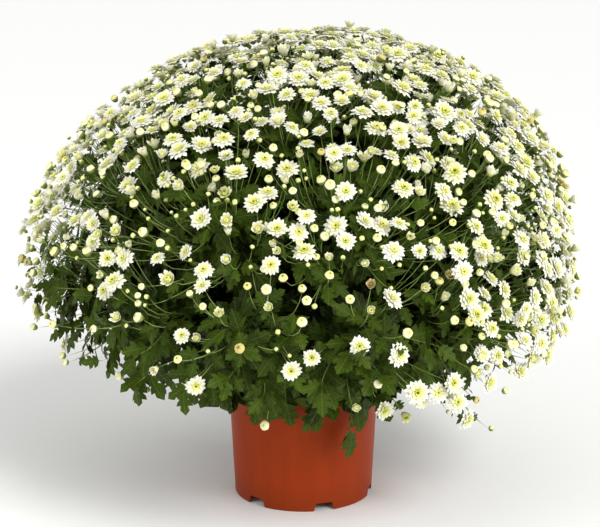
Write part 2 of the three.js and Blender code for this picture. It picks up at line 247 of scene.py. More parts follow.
def shifted(faces, starts):
    """Copies of faces whose corner numbers start at `starts`; the -1 of a triangle stays."""
    return np.where(faces < 0, -1, faces + np.reshape(starts, (-1, 1, 1))).reshape(-1, 4)


def join(skins):
    """One skin of several. A value that one of them lacks is 0 there."""
    names = sorted({name for skin in skins for name in skin.values})
    starts = np.cumsum([0] + [len(skin.points) for skin in skins[:-1]])
    values = {
        name: np.concatenate([skin.values.get(name, np.zeros(len(skin.points))) for skin in skins])
        for name in names
    }
    return Skin(
        np.concatenate([skin.points for skin in skins]),
        np.concatenate([shifted(skin.faces, start) for skin, start in zip(skins, starts)]),
        np.concatenate([skin.finish for skin in skins]),
        **values,
    )


def scatter(skin, places, frames, sizes, **values):
    """Copies of a skin: point p of copy i stands at place i + frame i (size i p). A size is one
    number or three, and `values` give one number for each copy."""
    count = len(places)
    sizes = np.broadcast_to(np.reshape(sizes, (count, -1)), (count, 3))
    points = places[:, None] + np.einsum("nij,nj,vj->nvi", frames, sizes, skin.points)
    return Skin(
        points,
        shifted(skin.faces, np.arange(count) * len(skin.points)),
        np.tile(skin.finish, count),
        **{name: np.tile(value, count) for name, value in skin.values.items()},
        **{name: np.repeat(value, len(skin.points)) for name, value in values.items()},
    )


def swept(start, rings, end, finish=0, **values):
    """Closed skins, one for each item: a pole, rings of corners that turn counter-clockwise about
    the path, and a pole. start and end are (items, 3), and rings is (items, rows, corners, 3)."""
    items, rows, corners = rings.shape[:3]
    points = np.concatenate([start[:, None], rings.reshape(items, -1, 3), end[:, None]], axis=1)
    near = 1 + np.arange(corners)
    after = np.roll(near, -1)
    row_start = corners * np.arange(rows - 1)[:, None]
    here, beside = (row_start + near).ravel(), (row_start + after).ravel()
    last = (rows - 1) * corners
    tip, none = np.full(corners, 1 + rows * corners), np.full(corners, -1)
    faces = [
        np.stack([here, beside, beside + corners, here + corners], axis=1),
        np.stack([np.zeros_like(near), after, near, none], axis=1),
        np.stack([tip, near + last, after + last, none], axis=1),
    ]
    faces = shifted(np.concatenate(faces), np.arange(items) * points.shape[1])
    return Skin(points, faces, finish, **values)


def tubes(lines, radii, corners, **values):
    """Round stalks along lines (items, rows, 3): at each row a ring of the row's radius, square to
    the line there. The two end rows are the poles. Each value is (items, rows)."""
    ways = unit(np.gradient(lines, axis=1))
    level, _ = square_to(unit(lines[:, -1] - lines[:, 0]))
    first = squared(level[:, None], ways)
    second = np.cross(ways, first)
    turn = 2 * np.pi * np.arange(corners) / corners
    rings = lines[:, 1:-1, None] + radii[:, 1:-1, None, None] * (
        np.cos(turn)[:, None] * first[:, 1:-1, None] + np.sin(turn)[:, None] * second[:, 1:-1, None]
    )
    spread = {
        name: np.concatenate(
            [value[:, :1], np.repeat(value[:, 1:-1], corners, axis=1), value[:, -1:]], axis=1
        )
        for name, value in values.items()
    }
    return swept(lines[:, 0], rings, lines[:, -1], **spread)


def revolved(profile, corners, tones, ruffle=0.0, finish=0):
    """A closed skin about +Z: (radius, height) pairs from the lower pole to the upper one, with a
    tone for each. Every other corner's radius grows by the share `ruffle`, and the rest shrink."""
    radius, height = np.array(profile, float).T
    turn = 2 * np.pi * np.arange(corners) / corners
    ring = radius[1:-1, None] * (1 + ruffle * np.cos(np.pi * np.arange(corners)))
    level = np.repeat(height[1:-1, None], corners, axis=1)
    rings = np.stack([ring * np.cos(turn), ring * np.sin(turn), level], axis=-1)
    tones = np.array(tones, float)
    tone = np.concatenate([tones[:1], np.repeat(tones[1:-1], corners), tones[-1:]])
    start, end = (np.array([[0, 0, pole]]) for pole in height[[0, -1]])
    return swept(start, rings[None], end, finish, tone=tone)


def add_piece(name, skin, materials, nodes, crease):
    """Puts a skin into a new object that rides on the root body and stands for CAD nodes. Edges
    over `crease` degrees stay sharp."""
    mesh = bpy.data.meshes.new(name)
    corners = skin.faces.ravel()
    corners = corners[corners >= 0]
    sides = np.where(skin.faces[:, 3] < 0, 3, 4)
    mesh.vertices.add(len(skin.points))
    mesh.vertices.foreach_set("co", skin.points.astype(np.float32).ravel())
    mesh.loops.add(len(corners))
    mesh.loops.foreach_set("vertex_index", corners.astype(np.int32))
    mesh.polygons.add(len(skin.faces))
    mesh.polygons.foreach_set("loop_start", (np.cumsum(sides) - sides).astype(np.int32))
    mesh.polygons.foreach_set("material_index", skin.finish.astype(np.int32))
    mesh.polygons.foreach_set("use_smooth", np.ones(len(skin.faces), bool))
    mesh.update(calc_edges=True)
    for value_name, value in skin.values.items():
        layer = mesh.attributes.new(value_name, "FLOAT", "POINT")
        layer.data.foreach_set("value", value.astype(np.float32))
    for material in materials:
        mesh.materials.append(material)
    mesh.set_sharp_from_angle(angle=math.radians(crease))
    if mesh.validate():
        raise RuntimeError(f"{name} has faces that Blender can't hold")
    piece = bpy.data.objects.new(name, mesh)
    bpy.context.scene.collection.objects.link(piece)
    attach(piece, "root")
    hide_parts(*nodes)
    return piece


# --- Settings --------------------------------------------------------------------------------


def amount(name, description, default, **more):
    """A number that the panel shows."""
    return FloatProperty(name=name, description=description, default=default, **more)


def size(name, description, default):
    """A length in metres that the panel shows."""
    return amount(name, description, default, min=0, unit="LENGTH", precision=4)


def angle(name, description, degrees):
    """An angle that the panel shows."""
    return amount(name, description, math.radians(degrees), subtype="ANGLE")


def colour(name, description, default):
    """A colour that the panel shows."""
    return FloatVectorProperty(
        name=name, description=description, default=linear(default), size=3, min=0, max=1,
        subtype="COLOR",
    )


class PotSettings(bpy.types.PropertyGroup):
    """Sizes and colours of the pot and the potting mix"""

    height: size("Height", "Of the pot over the floor", 0.185)
    foot_radius: size("Foot radius", "Outside, at the floor", 0.103)
    taper: angle("Taper", "Of the wall, from upright", 3)
    wall: size("Wall", "Thickness of the wall", 0.0022)
    lip_height: size("Lip height", "Of the thicker band at the rim", 0.018)
    lip_proud: size("Lip", "How far the band stands out", 0.002)
    foot_height: size("Foot height", "Of the pot's floor over the ground", 0.014)
    floor_thickness: size("Floor", "Thickness of the pot's floor", 0.0025)
    notch_height: size("Notch height", "Of the drainage notches in the foot", 0.012)
    notch_foot_width: size("Notch width", "At the ground", 0.031)
    notch_top_width: size("Notch top width", "At the notch's top", 0.025)
    notch_turn: angle("Notch turn", "Of the first notch, from +X", -72.6)
    drain_radius: size("Drain hole radius", "Of the holes in the pot's floor", 0.006)
    drain_ring_radius: size("Drain ring radius", "Where the holes are", 0.076)
    mix_height: size("Mix height", "Of the potting mix over the ground", MIX_HEIGHT)
    plastic: colour("Plastic", "Terracotta-coloured polypropylene", "#963409")
    mix: colour("Mix", "Moist peat mix", "#35261B")


class PlantSettings(bpy.types.PropertyGroup):
    """Sizes and colours of the plant"""

    dome_middle: size("Dome middle", "Height of the point the dome is measured from", 0.300)
    crown_reach: size("Crown reach", "From the dome's middle to its top", 0.388)
    shoulder_gain: size("Shoulder gain", "How much further the dome's shoulder reaches", 0.026)
    stem_radius: size("Stem radius", "At the mix", 0.0045)
    stalk_radius: size("Stalk radius", "Of a flower stalk at its foot", 0.00106)
    bloom_radius: size("Bloom radius", "Of a middling open bloom", 0.0145)
    half_open_radius: size("Half-open radius", "Of a half-open bloom", 0.0084)
    young_radius: size("Young radius", "Of a bloom that begins to open", 0.0058)
    bud_radius: size("Bud radius", "Of a closed bud", 0.0036)
    leaf_length: size("Leaf length", "Of a middling blade with its stalk", 0.046)
    petal: colour("Petals", "Outer part of the petals", "#E8E7E0")
    petal_heart: colour("Petals' heart", "Inner part of the petals", "#E9EB86")
    eye: colour("Eye", "Closed florets in the very middle", "#706A1C")
    calyx: colour("Calyx", "Green cup under a bloom", "#6F7F2F")
    stalk: colour("Stalks", "Young green stalks", "#8DA15A")
    wood: colour("Stems", "Older stems near the mix", "#5A5A2C")
    leaf: colour("Leaves", "Upper side of a grown leaf", "#192602")
    young_leaf: colour("Young leaves", "Upper side of a young leaf", "#374A07")
    leaf_underside: colour("Leaf underside", "Downy lower side of a leaf", "#394912")


class StageSettings(bpy.types.PropertyGroup):
    """The camera, the lamps and the floor"""

    camera_distance: size("Camera distance", "In front of the pot's axis", 3.0)
    camera_height: size("Camera height", "Over the floor", 1.14)
    camera_aside: amount("Camera aside", "From the pot's axis, to +X", -0.005, unit="LENGTH")
    camera_pitch: angle("Camera pitch", "Below level", 14.73)
    focal_share: amount("Focal share", "Focal length for a sensor one wide", 3.4967)
    floor: colour("Floor", "Pale studio floor", "#F7F7F5")
    key: amount("Key light", "Strength of the soft main light", 2.1)
    fill: amount("Fill light", "Power of the second lamp", 34, unit="POWER")
    side: amount("Side light", "Power of the low lamp on the right", 20, unit="POWER")
    ambient: amount("Ambient", "Light from the pale surround", 0.6)


# --- The plan of the plant -------------------------------------------------------------------


def dome_middle(plant):
    """The point of the pot's axis that the dome is measured from."""
    return np.array([0, 0, plant.dome_middle])


def dome_reach(plant, tilt):
    """crown_reach + shoulder_gain sin^2 (1.5 tilt), so it is widest at a tilt of 60 degrees."""
    return plant.crown_reach + plant.shoulder_gain * np.sin(1.5 * tilt) ** 2


def tuck(tilt):
    """How far the lowest heads draw in: 30 mm by a step in tilt from 88 to 103 degrees."""
    return 30 * MM * tilt_step(88, 103, tilt)


def bareness(tilt, turn):
    """How bare of heads the lower front left is: a step in tilt times a step to that side."""
    return tilt_step(66, 82, tilt) * side_step(0.2, 0.8, turn, -120)


def fullness(turn):
    """How full of open blooms the right side is."""
    return side_step(-0.2, 0.8, turn, -20)


def openness(tilt, turn):
    """The share of blooms that have opened: 1 over the crown, and less by a step in tilt from 42 to
    60 degrees, most in front and least on the right."""
    front = 0.35 + 0.65 * side_step(-0.2, 0.6, turn, -100)
    return 1 - 0.62 * tilt_step(42, 60, tilt) * front * (1 - 0.3 * fullness(turn))


def sway(places):
    """The dome's top leans to +X by 19 mm, by a step in height; its middle bulges 10 mm to -X."""
    height = places[..., 2:]
    bulge = smooth_step(0.2, 0.3, height) * (1 - smooth_step(0.36, 0.5, height))
    lean = 0.019 * smooth_step(0.42, 0.64, height) - 0.010 * bulge
    return places + lean * np.array([1.0, 0, 0])


def stem_lines(plant):
    """Axis of each stem in the dome, its foot in the mix, and the fork where it turns outward."""
    rows = [
        (tilt, first + number * 2 * math.pi / count, radius)
        for tilt, count, first, radius in STEM_RINGS
        for number in range(count)
    ]
    tilt, turn, mix_radius = np.array(rows).T
    axis = direction(tilt, turn)
    at_mix = mix_radius[:, None] * direction(np.pi / 2, turn)
    at_mix[:, 2] = MIX_HEIGHT
    fork = dome_middle(plant) + FORK_REACH * axis
    return axis, at_mix - STEM_DEPTH * unit(fork - at_mix), fork


def stem_controls(parts):
    """Each stem as one cubic curve: up from its foot to the fork and out along its own axis."""
    axis, foot, fork = parts["axis"], parts["foot"], parts["fork"]
    end = parts["middle"] + STEM_END_REACH * axis
    return np.stack([foot, foot + 0.66 * (fork - foot), fork + 0.15 * (end - fork), end], axis=1)


def outer_stem(ways, axis):
    """The stem of the outer ring whose axis is nearest to each way."""
    return FIRST_OUTER + np.argmax(ways @ axis[FIRST_OUTER:].T, axis=1)


def on_stem_at(foot, fork, height):
    """The point of each line from foot to fork at a height over the floor."""
    rise = fork - foot
    return foot + rise * ((height - foot[:, 2]) / rise[:, 2])[:, None]


def leading_heads(plant):
    """Heads on a golden-angle lattice: level = 1 - (n + 1/2) / count (1 - cos 100 degrees). The
    first value says which are flowers; the others, low on the front left, are leafy shoots."""
    head = np.arange(HEAD_COUNT)
    level = 1 - (head + 0.5) / HEAD_COUNT * (1 - math.cos(SKIRT_TILT))
    tilt = np.arccos(level) + HEAD_JITTER * (chance(head, 1) - 0.5)
    turn = head * GOLDEN_ANGLE + HEAD_JITTER * (chance(head, 2) - 0.5) / np.sin(tilt)
    leafy = 0.85 * tilt_step(74, 92, tilt) * side_step(0.1, 0.75, turn, -125)
    flowers = chance(head, 3) < 1 - leafy
    sink = 12 * MM * chance(head, 4) - 5 * MM + tuck(tilt)
    outward = direction(tilt, turn)
    places = dome_middle(plant) + (dome_reach(plant, tilt) - sink)[:, None] * outward
    return flowers, tilt, turn, outward, places


def side_heads(plant, draw, flowers, outward, leading):
    """Heads round each leading one, at a distance of 50 mm sqrt(0.12 to 1): the leading head of
    each, its place and its kind. They thin out down the dome and where it is bare."""
    middle = dome_middle(plant)
    lead = np.repeat(np.arange(HEAD_COUNT), SIDE_HEADS)
    step = np.tile(np.arange(SIDE_HEADS), HEAD_COUNT)
    turn = (step + 0.7 * draw.random(lead.size)) * 2 * np.pi / SIDE_HEADS + lead
    aside = SIDE_REACH * np.sqrt(draw.uniform(0.12, 1, lead.size))
    way = unit(leading[lead] + aside[:, None] * around(outward[lead], turn[:, None]) - middle)
    tilt, turn = np.arccos(way[:, 2]), np.arctan2(way[:, 1], way[:, 0])
    kinds = draw.random(lead.size) - (0.42 + 0.1 * fullness(turn)) * openness(tilt, turn)
    kind = np.select([kinds < 0, kinds < 0.13, kinds < 0.38], [OPEN, HALF_OPEN, YOUNG], BUD)
    sink = draw.uniform(-14 * MM, 27 * MM, lead.size)
    sink = np.where(kind == OPEN, np.maximum(sink, -5 * MM), sink) + tuck(tilt)
    thin = (0.95 - 0.09 * tilt_step(46, 64, tilt)) * (1 - 0.86 * bareness(tilt, turn))
    kept = flowers[lead] & (draw.random(lead.size) < thin) & (tilt < LOWEST_TILT)
    places = middle + (dome_reach(plant, tilt) - sink)[:, None] * way
    return lead[kept], places[kept], kind[kept]


def leading_kinds(draw, tilt, turn):
    """Kinds of the leading heads: 0.78 (0.35 + 0.65 openness) of them are open, more on the full
    side and fewer where the dome is bare, 0.18 are half open, and the rest are young."""
    kinds = draw.random(HEAD_COUNT) - 0.08 * fullness(turn) + 0.25 * bareness(tilt, turn)
    kinds = kinds - 0.78 * (0.35 + 0.65 * openness(tilt, turn))
    return np.select([kinds < 0, kinds < 0.18], [OPEN, HALF_OPEN], YOUNG)


def settle(places, radii, fixed, middle, passes=30):
    """Moves heads apart until each pair is 0.84 of its two radii and a millimetre apart, along the
    line between them; a fixed head stays, and each keeps its distance from the dome's middle. The
    second value says which heads stay: not those that still stand within 0.75 of that."""
    reach = np.linalg.norm(places - middle, axis=1, keepdims=True)
    wanted = 0.84 * (radii[:, None] + radii) + MM
    np.fill_diagonal(wanted, 0)
    free = np.where(fixed, 0.0, 1.0)
    share = free[:, None] / np.maximum(free[:, None] + free, 1)
    for _ in range(passes):
        apart = places[:, None] - places
        distance = np.linalg.norm(apart, axis=2)
        push = np.clip(wanted - distance, 0, None) * share * 0.7
        places = places + np.einsum("ij,ijk->ik", push / np.maximum(distance, 1e-6), apart)
        places = middle + reach * unit(places - middle)
    distance = np.linalg.norm(places[:, None] - places, axis=2) + np.eye(len(places))
    later = np.arange(len(places))[:, None] > np.arange(len(places))
    return places, fixed | ~((distance < 0.75 * wanted) & later).any(axis=1)


def head_stalks(draw, middle, axis, stem, parent, way, face, end):
    """Each head's stalk as a cubic curve. That of a leading head leaves its stem, and that of a
    side head leaves the leading head's stalk. Low stalks go out and then turn up to their heads,
    if those are above the stalk's foot."""
    low = tilt_step(32, 60, np.arccos(way[:, 2:]))

    def curves(chosen, root, leave, near, far):
        """From the roots to the chosen heads: near and far are the handles' shares of the length,
        and the stalk sets out halfway between the way `leave` and the straight one."""
        reach = end[chosen] - root
        length, straight = np.linalg.norm(reach, axis=1)[:, None], unit(reach)
        rise = STALK_LIFT * low[chosen] * smooth_step(-0.3, 0.4, straight[:, 2:])
        last = unit(0.3 * face[chosen] + 0.6 * straight + rise * UP)
        first = root + near * length * unit(leave + straight)
        return np.stack([root, first, end[chosen] - far * length * last, end[chosen]], axis=1)

    along = dot(end - middle, axis[stem])[:, 0]
    off = np.linalg.norm(end - middle - along[:, None] * axis[stem], axis=1)
    reach = along - 1.5 * off - 20 * MM + draw.normal(0, 10 * MM, off.size) - 35 * MM * low[:, 0]
    reach = np.clip(reach, 0.19, STEM_END_REACH)
    share = draw.uniform(0.02, 0.5, len(end)) * (1 - 0.35 * low[:, 0])
    stalk = curves(slice(None), middle + reach[:, None] * axis[stem], axis[stem], 0.33, 0.36)
    sides = np.flatnonzero(parent >= 0)
    mother, share = stalk[parent[sides]], share[sides, None]
    leave = 0.6 * bezier_way(mother, share)[:, 0]
    stalk[sides] = curves(sides, bezier(mother, share)[:, 0], leave, 0.3, 0.34)
    return stalk


def leafy_shoots(draw, middle, axis, foot, fork, places, outward):
    """Leafy shoots where the lattice has no flower, and hanging ones under the skirt, as cubic
    curves with their stems. The last value says which of them hang."""
    stem = np.argmax(outward @ axis.T, axis=1)
    end = places - draw.uniform(14 * MM, 30 * MM, len(places))[:, None] * outward
    root = middle + 0.23 * axis[stem]

    count = UNDER_SHOOTS
    turn = (np.arange(count) + 0.7 * draw.random(count)) * 2 * np.pi / count
    tilt = np.radians(draw.uniform(96, 116, count) - 7 * side_step(0.2, 0.9, turn, -145))
    reach = 0.345 - 0.12 * (np.degrees(tilt) - 96) / 20
    under_way = direction(tilt, turn)
    under_end = middle + (reach * draw.uniform(0.82, 0.98, count))[:, None] * under_way
    under = outer_stem(under_way, axis)
    up_stem = draw.uniform(-0.35, 0.3, count)[:, None] * (fork[under] - foot[under]) * 0.5

    ends = np.concatenate([end, under_end])
    roots = np.concatenate([root, fork[under] + up_stem])
    ways = np.concatenate([outward, unit(under_way - 0.5 * UP)])
    stem = np.concatenate([stem, under])
    length = np.linalg.norm(ends - roots, axis=1)[:, None]
    first = roots + 0.36 * length * unit(axis[stem] + unit(ends - roots))
    shoots = np.stack([roots, first, ends - 0.33 * length * ways, ends], axis=1)
    return shoots, stem, np.arange(len(stem)) >= len(places)


def lip_shoots(axis, foot, fork):
    """Leafy shoots that leave an outer stem just above the mix and bend down over the lip, as
    cubic curves with their stems."""
    turn, reach, height = np.array(LIP_SHOOTS, float).T
    level = direction(np.pi / 2, np.radians(turn))
    stem = outer_stem(level, axis)
    root = on_stem_at(foot[stem], fork[stem], LIP_SHOOT_ROOT)
    end = MM * (reach[:, None] * level + height[:, None] * UP)
    rise = root + 28 * MM * level + 22 * MM * UP
    fall = end - 14 * MM * level + 32 * MM * UP
    return np.stack([root, rise, fall, end], axis=1), stem


@lru_cache(maxsize=2)
def plan(scene_name):
    """Stems, flower heads, stalks and shoots as arrays, all from the plant's settings."""
    plant = bpy.data.scenes[scene_name].mum_plant
    draw = np.random.default_rng(HEAD_SEED)
    middle = dome_middle(plant)
    axis, foot, fork = stem_lines(plant)
    flowers, tilt, turn, outward, leading = leading_heads(plant)
    lead, side_places, side_kind = side_heads(plant, draw, flowers, outward, leading)
    lead_kind = leading_kinds(draw, tilt, turn)

    # Sprays that hang out under the skirt count as leading heads
    hang_tilt, hang_turn, hang_reach, hang_kind = np.array(HANGING_HEADS, float).T
    hang_way = direction(np.radians(hang_tilt), np.radians(hang_turn))
    hanging = middle + MM * hang_reach[:, None] * hang_way
    places = np.concatenate([leading[flowers], hanging, side_places])
    kind = np.concatenate([lead_kind[flowers], hang_kind.astype(int), side_kind])
    leader_count = flowers.sum() + len(hanging)
    parent = np.concatenate([np.full(leader_count, -1), (np.cumsum(flowers) - 1)[lead]])
    middling = [plant.bloom_radius, plant.half_open_radius, plant.young_radius, plant.bud_radius]
    radii = np.array(middling)[kind] * draw.uniform(0.78, 1.16, kind.size)
    radii[parent < 0] *= 1.1
    places, stays = settle(places, radii, parent < 0, middle)
    places, kind, radii, parent = sway(places[stays]), kind[stays], radii[stays], parent[stays]

    # Each head looks outward and up, and a side head a little away from its leading head
    way = unit(places - middle)
    mother = np.maximum(parent, 0)
    lean = np.where(parent[:, None] < 0, 0, 0.22 * unit(places - places[mother]))
    face = unit(way + HEAD_LIFT * UP + lean + 0.23 * draw.normal(size=way.shape))
    stem = np.argmax(way @ axis.T, axis=1)
    stem = np.where(parent < 0, stem, stem[mother])
    end = places - (DEPTHS[kind] * radii)[:, None] * face
    stalk = head_stalks(draw, middle, axis, stem, parent, way, face, end)
    bare = ~flowers
    shoots, shoot_stem, hangs = leafy_shoots(
        draw, middle, axis, foot, fork, leading[bare], outward[bare]
    )
    over_lip, lip_stem = lip_shoots(axis, foot, fork)
    return {
        "axis": axis, "foot": foot, "fork": fork, "middle": middle, "places": places,
        "kind": kind, "radii": radii, "parent": parent, "face": face, "stem": stem,
        "stalk": stalk, "shoots": shoots, "shoot_stem": shoot_stem, "shoot_hangs": hangs,
        "lip_shoots": over_lip, "lip_stem": lip_stem,
    }


@lru_cache(maxsize=2)
def leaf_plan(scene_name):
    """Where each leaf leaves its stalk, stem or shoot, its frame, its length and its tier."""
    plant = bpy.data.scenes[scene_name].mum_plant
    parts = plan(scene_name)
    draw = np.random.default_rng(SEED + 1)

    def grow(controls, stems, count, shares, length, splay, droop, age, shapes=(0, 3)):
        """`count` leaves for each curve, spread over `shares` of it, each a golden turn on. Their
        lengths in plant.leaf_length and their degrees off the curve change along it."""
        number = np.arange(count)
        spread = (number + draw.uniform(0.1, 0.9, (len(controls), count))) / count
        share = shares[0] + (shares[1] - shares[0]) * spread
        point, way = bezier(controls, share), bezier_way(controls, share)
        turn = number * GOLDEN_ANGLE + draw.uniform(0, 2 * np.pi, (len(controls), 1))
        turn = turn + draw.normal(0, 0.3, turn.shape)
        spread = spread.ravel()
        return {
            "point": point.reshape(-1, 3),
            "way": way.reshape(-1, 3),
            "turn": turn.ravel(),
            "length": plant.leaf_length * (length[0] + (length[1] - length[0]) * spread),
            "splay": np.radians(splay[0] + (splay[1] - splay[0]) * spread),
            "droop": np.full(share.size, droop),
            # Age grows towards the curve's end, so outer leaves are paler and younger. The low ages
            # deep in the dome are also painted shade.
            "age": np.full(share.size, age) + 0.35 * (spread - 0.5),
            "stem": np.repeat(stems, count),
            "shape": draw.integers(*shapes, share.size),
        }

    leaders = parts["parent"] < 0
    stalks, stems = parts["stalk"][leaders], parts["stem"][leaders]
    low = unit(stalks[:, 3] - parts["middle"])[:, 2] < math.cos(math.radians(60))
    high_ones, low_ones = (stalks[~low], stems[~low]), (stalks[low], stems[low])
    hangs = parts["shoot_hangs"]
    upright = parts["shoots"][~hangs], parts["shoot_stem"][~hangs]
    hanging = parts["shoots"][hangs], parts["shoot_stem"][hangs]
    lines, numbers = stem_controls(parts), np.arange(STEM_COUNT)
    inner = lines[:FIRST_OUTER], numbers[:FIRST_OUTER]
    outer = lines[FIRST_OUTER:], numbers[FIRST_OUTER:]
    leafy = ~leaders & (chance(np.arange(len(leaders)), 5) < 0.6)
    side_stalks = parts["stalk"][leafy], parts["stem"][leafy]
    over_lip = parts["lip_shoots"], parts["lip_stem"]
    groups = [
        # Curves and their stems, leaves on each, from and to along it, lengths, splay, droop,
        # age (low for leaves deep in the dome, partly painted shade that darkens them), and the
        # numbers of the shapes
        grow(*high_ones, 3, (0.0, 0.4), (1.6, 1.25), (85, 60), 0.1, 0.2, (3, 4)),
        grow(*low_ones, 7, (0.0, 0.5), (1.25, 0.95), (85, 60), 0.15, 0.15, (3, 4)),
        grow(*high_ones, 7, (0.28, 0.87), (1.1, 0.66), (75, 45), 0.08, 0.38),
        grow(*low_ones, 10, (0.15, 0.88), (0.93, 0.5), (78, 45), 0.25, 0.38),
        grow(*upright, 13, (0.1, 1.0), (1.2, 0.75), (80, 30), 0.35, 0.42),
        grow(*hanging, 10, (0.15, 1.0), (1.05, 0.8), (75, 25), 0.65, 0.38),
        grow(*inner, 22, (0.48, 1.0), (1.8, 1.5), (85, 50), 0.15, 0.1, (3, 4)),
        grow(*outer, 30, (0.42, 1.0), (1.45, 1.1), (85, 50), 0.15, 0.1, (3, 4)),
        grow(lines, numbers, 6, (0.28, 0.5), (1.5, 1.35), (85, 70), 0.0, 0.0, (3, 4)),
        grow(*side_stalks, 1, (0.1, 0.76), (1.1, 0.76), (70, 45), 0.1, 0.5, (4, 5)),
        grow(*over_lip, 5, (0.4, 1.0), (1.05, 0.95), (68, 10), 0.3, 0.62),
    ]

    # Leaves that hang over the pot's rim, from the outer stems just above the mix
    count = RIM_LEAVES
    turn = (np.arange(count) + 0.6 * draw.random(count)) * 2 * np.pi / count
    level = direction(np.pi / 2, turn)
    stem = outer_stem(level, parts["axis"])
    height = draw.uniform(*RIM_HEIGHTS, count)
    groups.append(
        {
            "point": on_stem_at(parts["foot"][stem], parts["fork"][stem], height),
            "way": level,
            "turn": draw.uniform(0, 2 * np.pi, count),
            "length": plant.leaf_length * draw.uniform(1.1, 1.6, count),
            "splay": np.radians(draw.uniform(5, 22, count)),
            "droop": draw.uniform(0.25, 1.1, count),
            "age": draw.uniform(0.2, 0.6, count),
            "stem": stem,
            "shape": draw.integers(0, 3, count),
        }
    )
    leaves = {name: np.concatenate([group[name] for group in groups]) for name in groups[0]}

    # A leaf leaves its curve by its splay and droops; its upper side looks outward and up
    way, splay = leaves["way"], leaves["splay"][:, None]
    side = around(way, leaves["turn"][:, None])
    along = unit(np.cos(splay) * way + np.sin(splay) * side - leaves["droop"][:, None] * UP)
    outward = unit(leaves["point"] - parts["middle"] + 1e-4)
    lit = way * 0.6 + 0.8 * outward + 0.35 * UP + 0.22 * draw.normal(size=along.shape)
    leaves["frame"] = frames_of(along, squared(lit, along))
    leaves["length"] = leaves["length"] * draw.uniform(0.82, 1.16, len(way))
    leaves["shade"] = draw.random(len(way))
    return leaves


# --- Heads and leaves of size 1 --------------------------------------------------------------


def petals(
    draw, count, length, width, rise, bend, root, tones, turn=0.0, crown=0.3, rows=(0.36, 0.74)
):
    """A ring of ray florets about +Z, for a bloom of radius 1. At share s of its length a petal's
    middle line stands at the angle rise - bend s above the disc, so it is a circle's arc from the
    root (radius, height). The half-width is width / 2 (0.6 + 0.5 s) sqrt(1 - s^4), and the ridge
    stands out by the share `crown` of it, above the petal or, if it is negative, below."""
    share = np.array([0.0, *rows, 1.0])
    rise = np.radians(rise + draw.normal(0, 4, (count, 1)))
    bend = math.radians(bend)
    length = length * draw.uniform(0.78, 1.1, (count, 1))
    slope = rise - bend * share
    out = root[0] + length * (np.sin(rise) - np.sin(slope)) / bend
    high = root[1] + length * (np.cos(slope) - np.cos(rise)) / bend
    turns = turn + (np.arange(count) + draw.uniform(-0.12, 0.12, count)) * 2 * np.pi / count
    radial = direction(np.pi / 2, turns)[:, None]
    left = np.cross(UP, radial)
    line = out[..., None] * radial + high[..., None] * UP
    normal = np.cos(slope)[..., None] * UP - np.sin(slope)[..., None] * radial
    half = (width / 2 * (0.6 + 0.5 * share) * np.sqrt(1 - share**4))[:, None]
    edges = [line + half * left, line - half * left]
    ridge = line + crown * half * normal
    ring = np.stack([edges[0], ridge, edges[1]] if crown > 0 else [edges[0], edges[1], ridge], 2)
    tone = tones[0] + (tones[1] - tones[0]) * share
    tone = np.concatenate([tone[:1], np.repeat(tone[1:-1], 3), tone[-1:]])
    return swept(line[:, 0], ring[:, 1:-1], line[:, -1], tone=np.tile(tone, count))


def open_bloom(draw, cup):
    """A double bloom of radius 1 that faces +Z: four rings of petals, each steeper than the one
    outside it, round a small dimpled eye, over a green cup. `cup` lifts all petals, in degrees."""
    inner = {"rows": (0.6,)}
    rings = [
        petals(draw, 15, 0.84, 0.42, cup + 2, 22, (0.2, -0.02), (0.32, 1.0), 0.0),
        petals(draw, 11, 0.76, 0.42, cup + 17, 22, (0.18, 0.03), (0.3, 0.95), 0.3),
        petals(draw, 8, 0.58, 0.42, cup + 34, 24, (0.15, 0.06), (0.27, 0.8), 0.1, **inner),
        petals(draw, 5, 0.39, 0.36, cup + 54, 12, (0.1, 0.08), (0.24, 0.52), 0.5, **inner),
    ]
    eye = [(0, -0.1), (0.2, 0.0), (0.17, 0.2), (0.085, 0.215), (0, 0.165)]
    calyx = [(0, -0.42), (0.075, -0.4), (0.31, -0.17), (0, 0.0)]
    # The eye's dimpled middle gets tone 0, the darkest colour: painted shade in the hollow
    rings.append(revolved(eye, 6, [0.3, 0.3, 0.27, 0.05, 0.0], ruffle=0.08))
    return join(rings + [revolved(calyx, 5, [0, 0.2, 1, 1], finish=1)])


def half_open_bloom(draw, cup):
    """A half-open bloom of radius about 1: two rings of steep petals round a hollow, in a green
    cup. `cup` opens the petals, in degrees."""
    middle = [(0, 0.0), (0.36, 0.1), (0.4, 0.66), (0.14, 0.82), (0, 0.68)]
    calyx = [(0, -0.5), (0.5, -0.12), (0.44, 0.2), (0, 0.1)]
    steep, inner = 66 - cup, 72 - cup / 2
    return join(
        [
            petals(draw, 9, 1.28, 0.74, steep, -14, (0.3, -0.05), (0.32, 0.92), 0.0, -0.3),
            petals(draw, 7, 1.08, 0.66, inner, -22, (0.24, 0), (0.3, 0.72), 0.4, -0.3, (0.62,)),
            # The hollow's middle gets almost the lowest tone: painted shade
            revolved(middle, 5, [0.3, 0.28, 0.26, 0.17, 0.02]),
            revolved(calyx, 5, [0, 0.7, 1, 1], finish=1),
        ]
    )


def young_bloom():
    """A bloom of radius 1 that begins to open: a ball of short ribbed petals with a small eye."""
    ball = [(0, -0.3), (1.0, 0.2), (0.76, 0.8), (0.28, 0.95), (0, 0.8)]
    # The top of the ball gets tone 0, the darkest colour: painted shade in its small eye
    ball = revolved(ball, 10, [0.56, 0.56, 0.62, 0.28, 0.0], ruffle=0.03)
    ribs = 0.09 * np.tile(np.cos(np.pi * np.arange(10)), 3)
    ball.values["tone"] = ball.values["tone"] + np.concatenate([[0], ribs, [0]])
    calyx = [(0, -0.95), (0.62, -0.66), (1.02, 0.12), (0, 0.2)]
    return join([ball, revolved(calyx, 6, [0, 0.3, 1, 1], finish=1)])


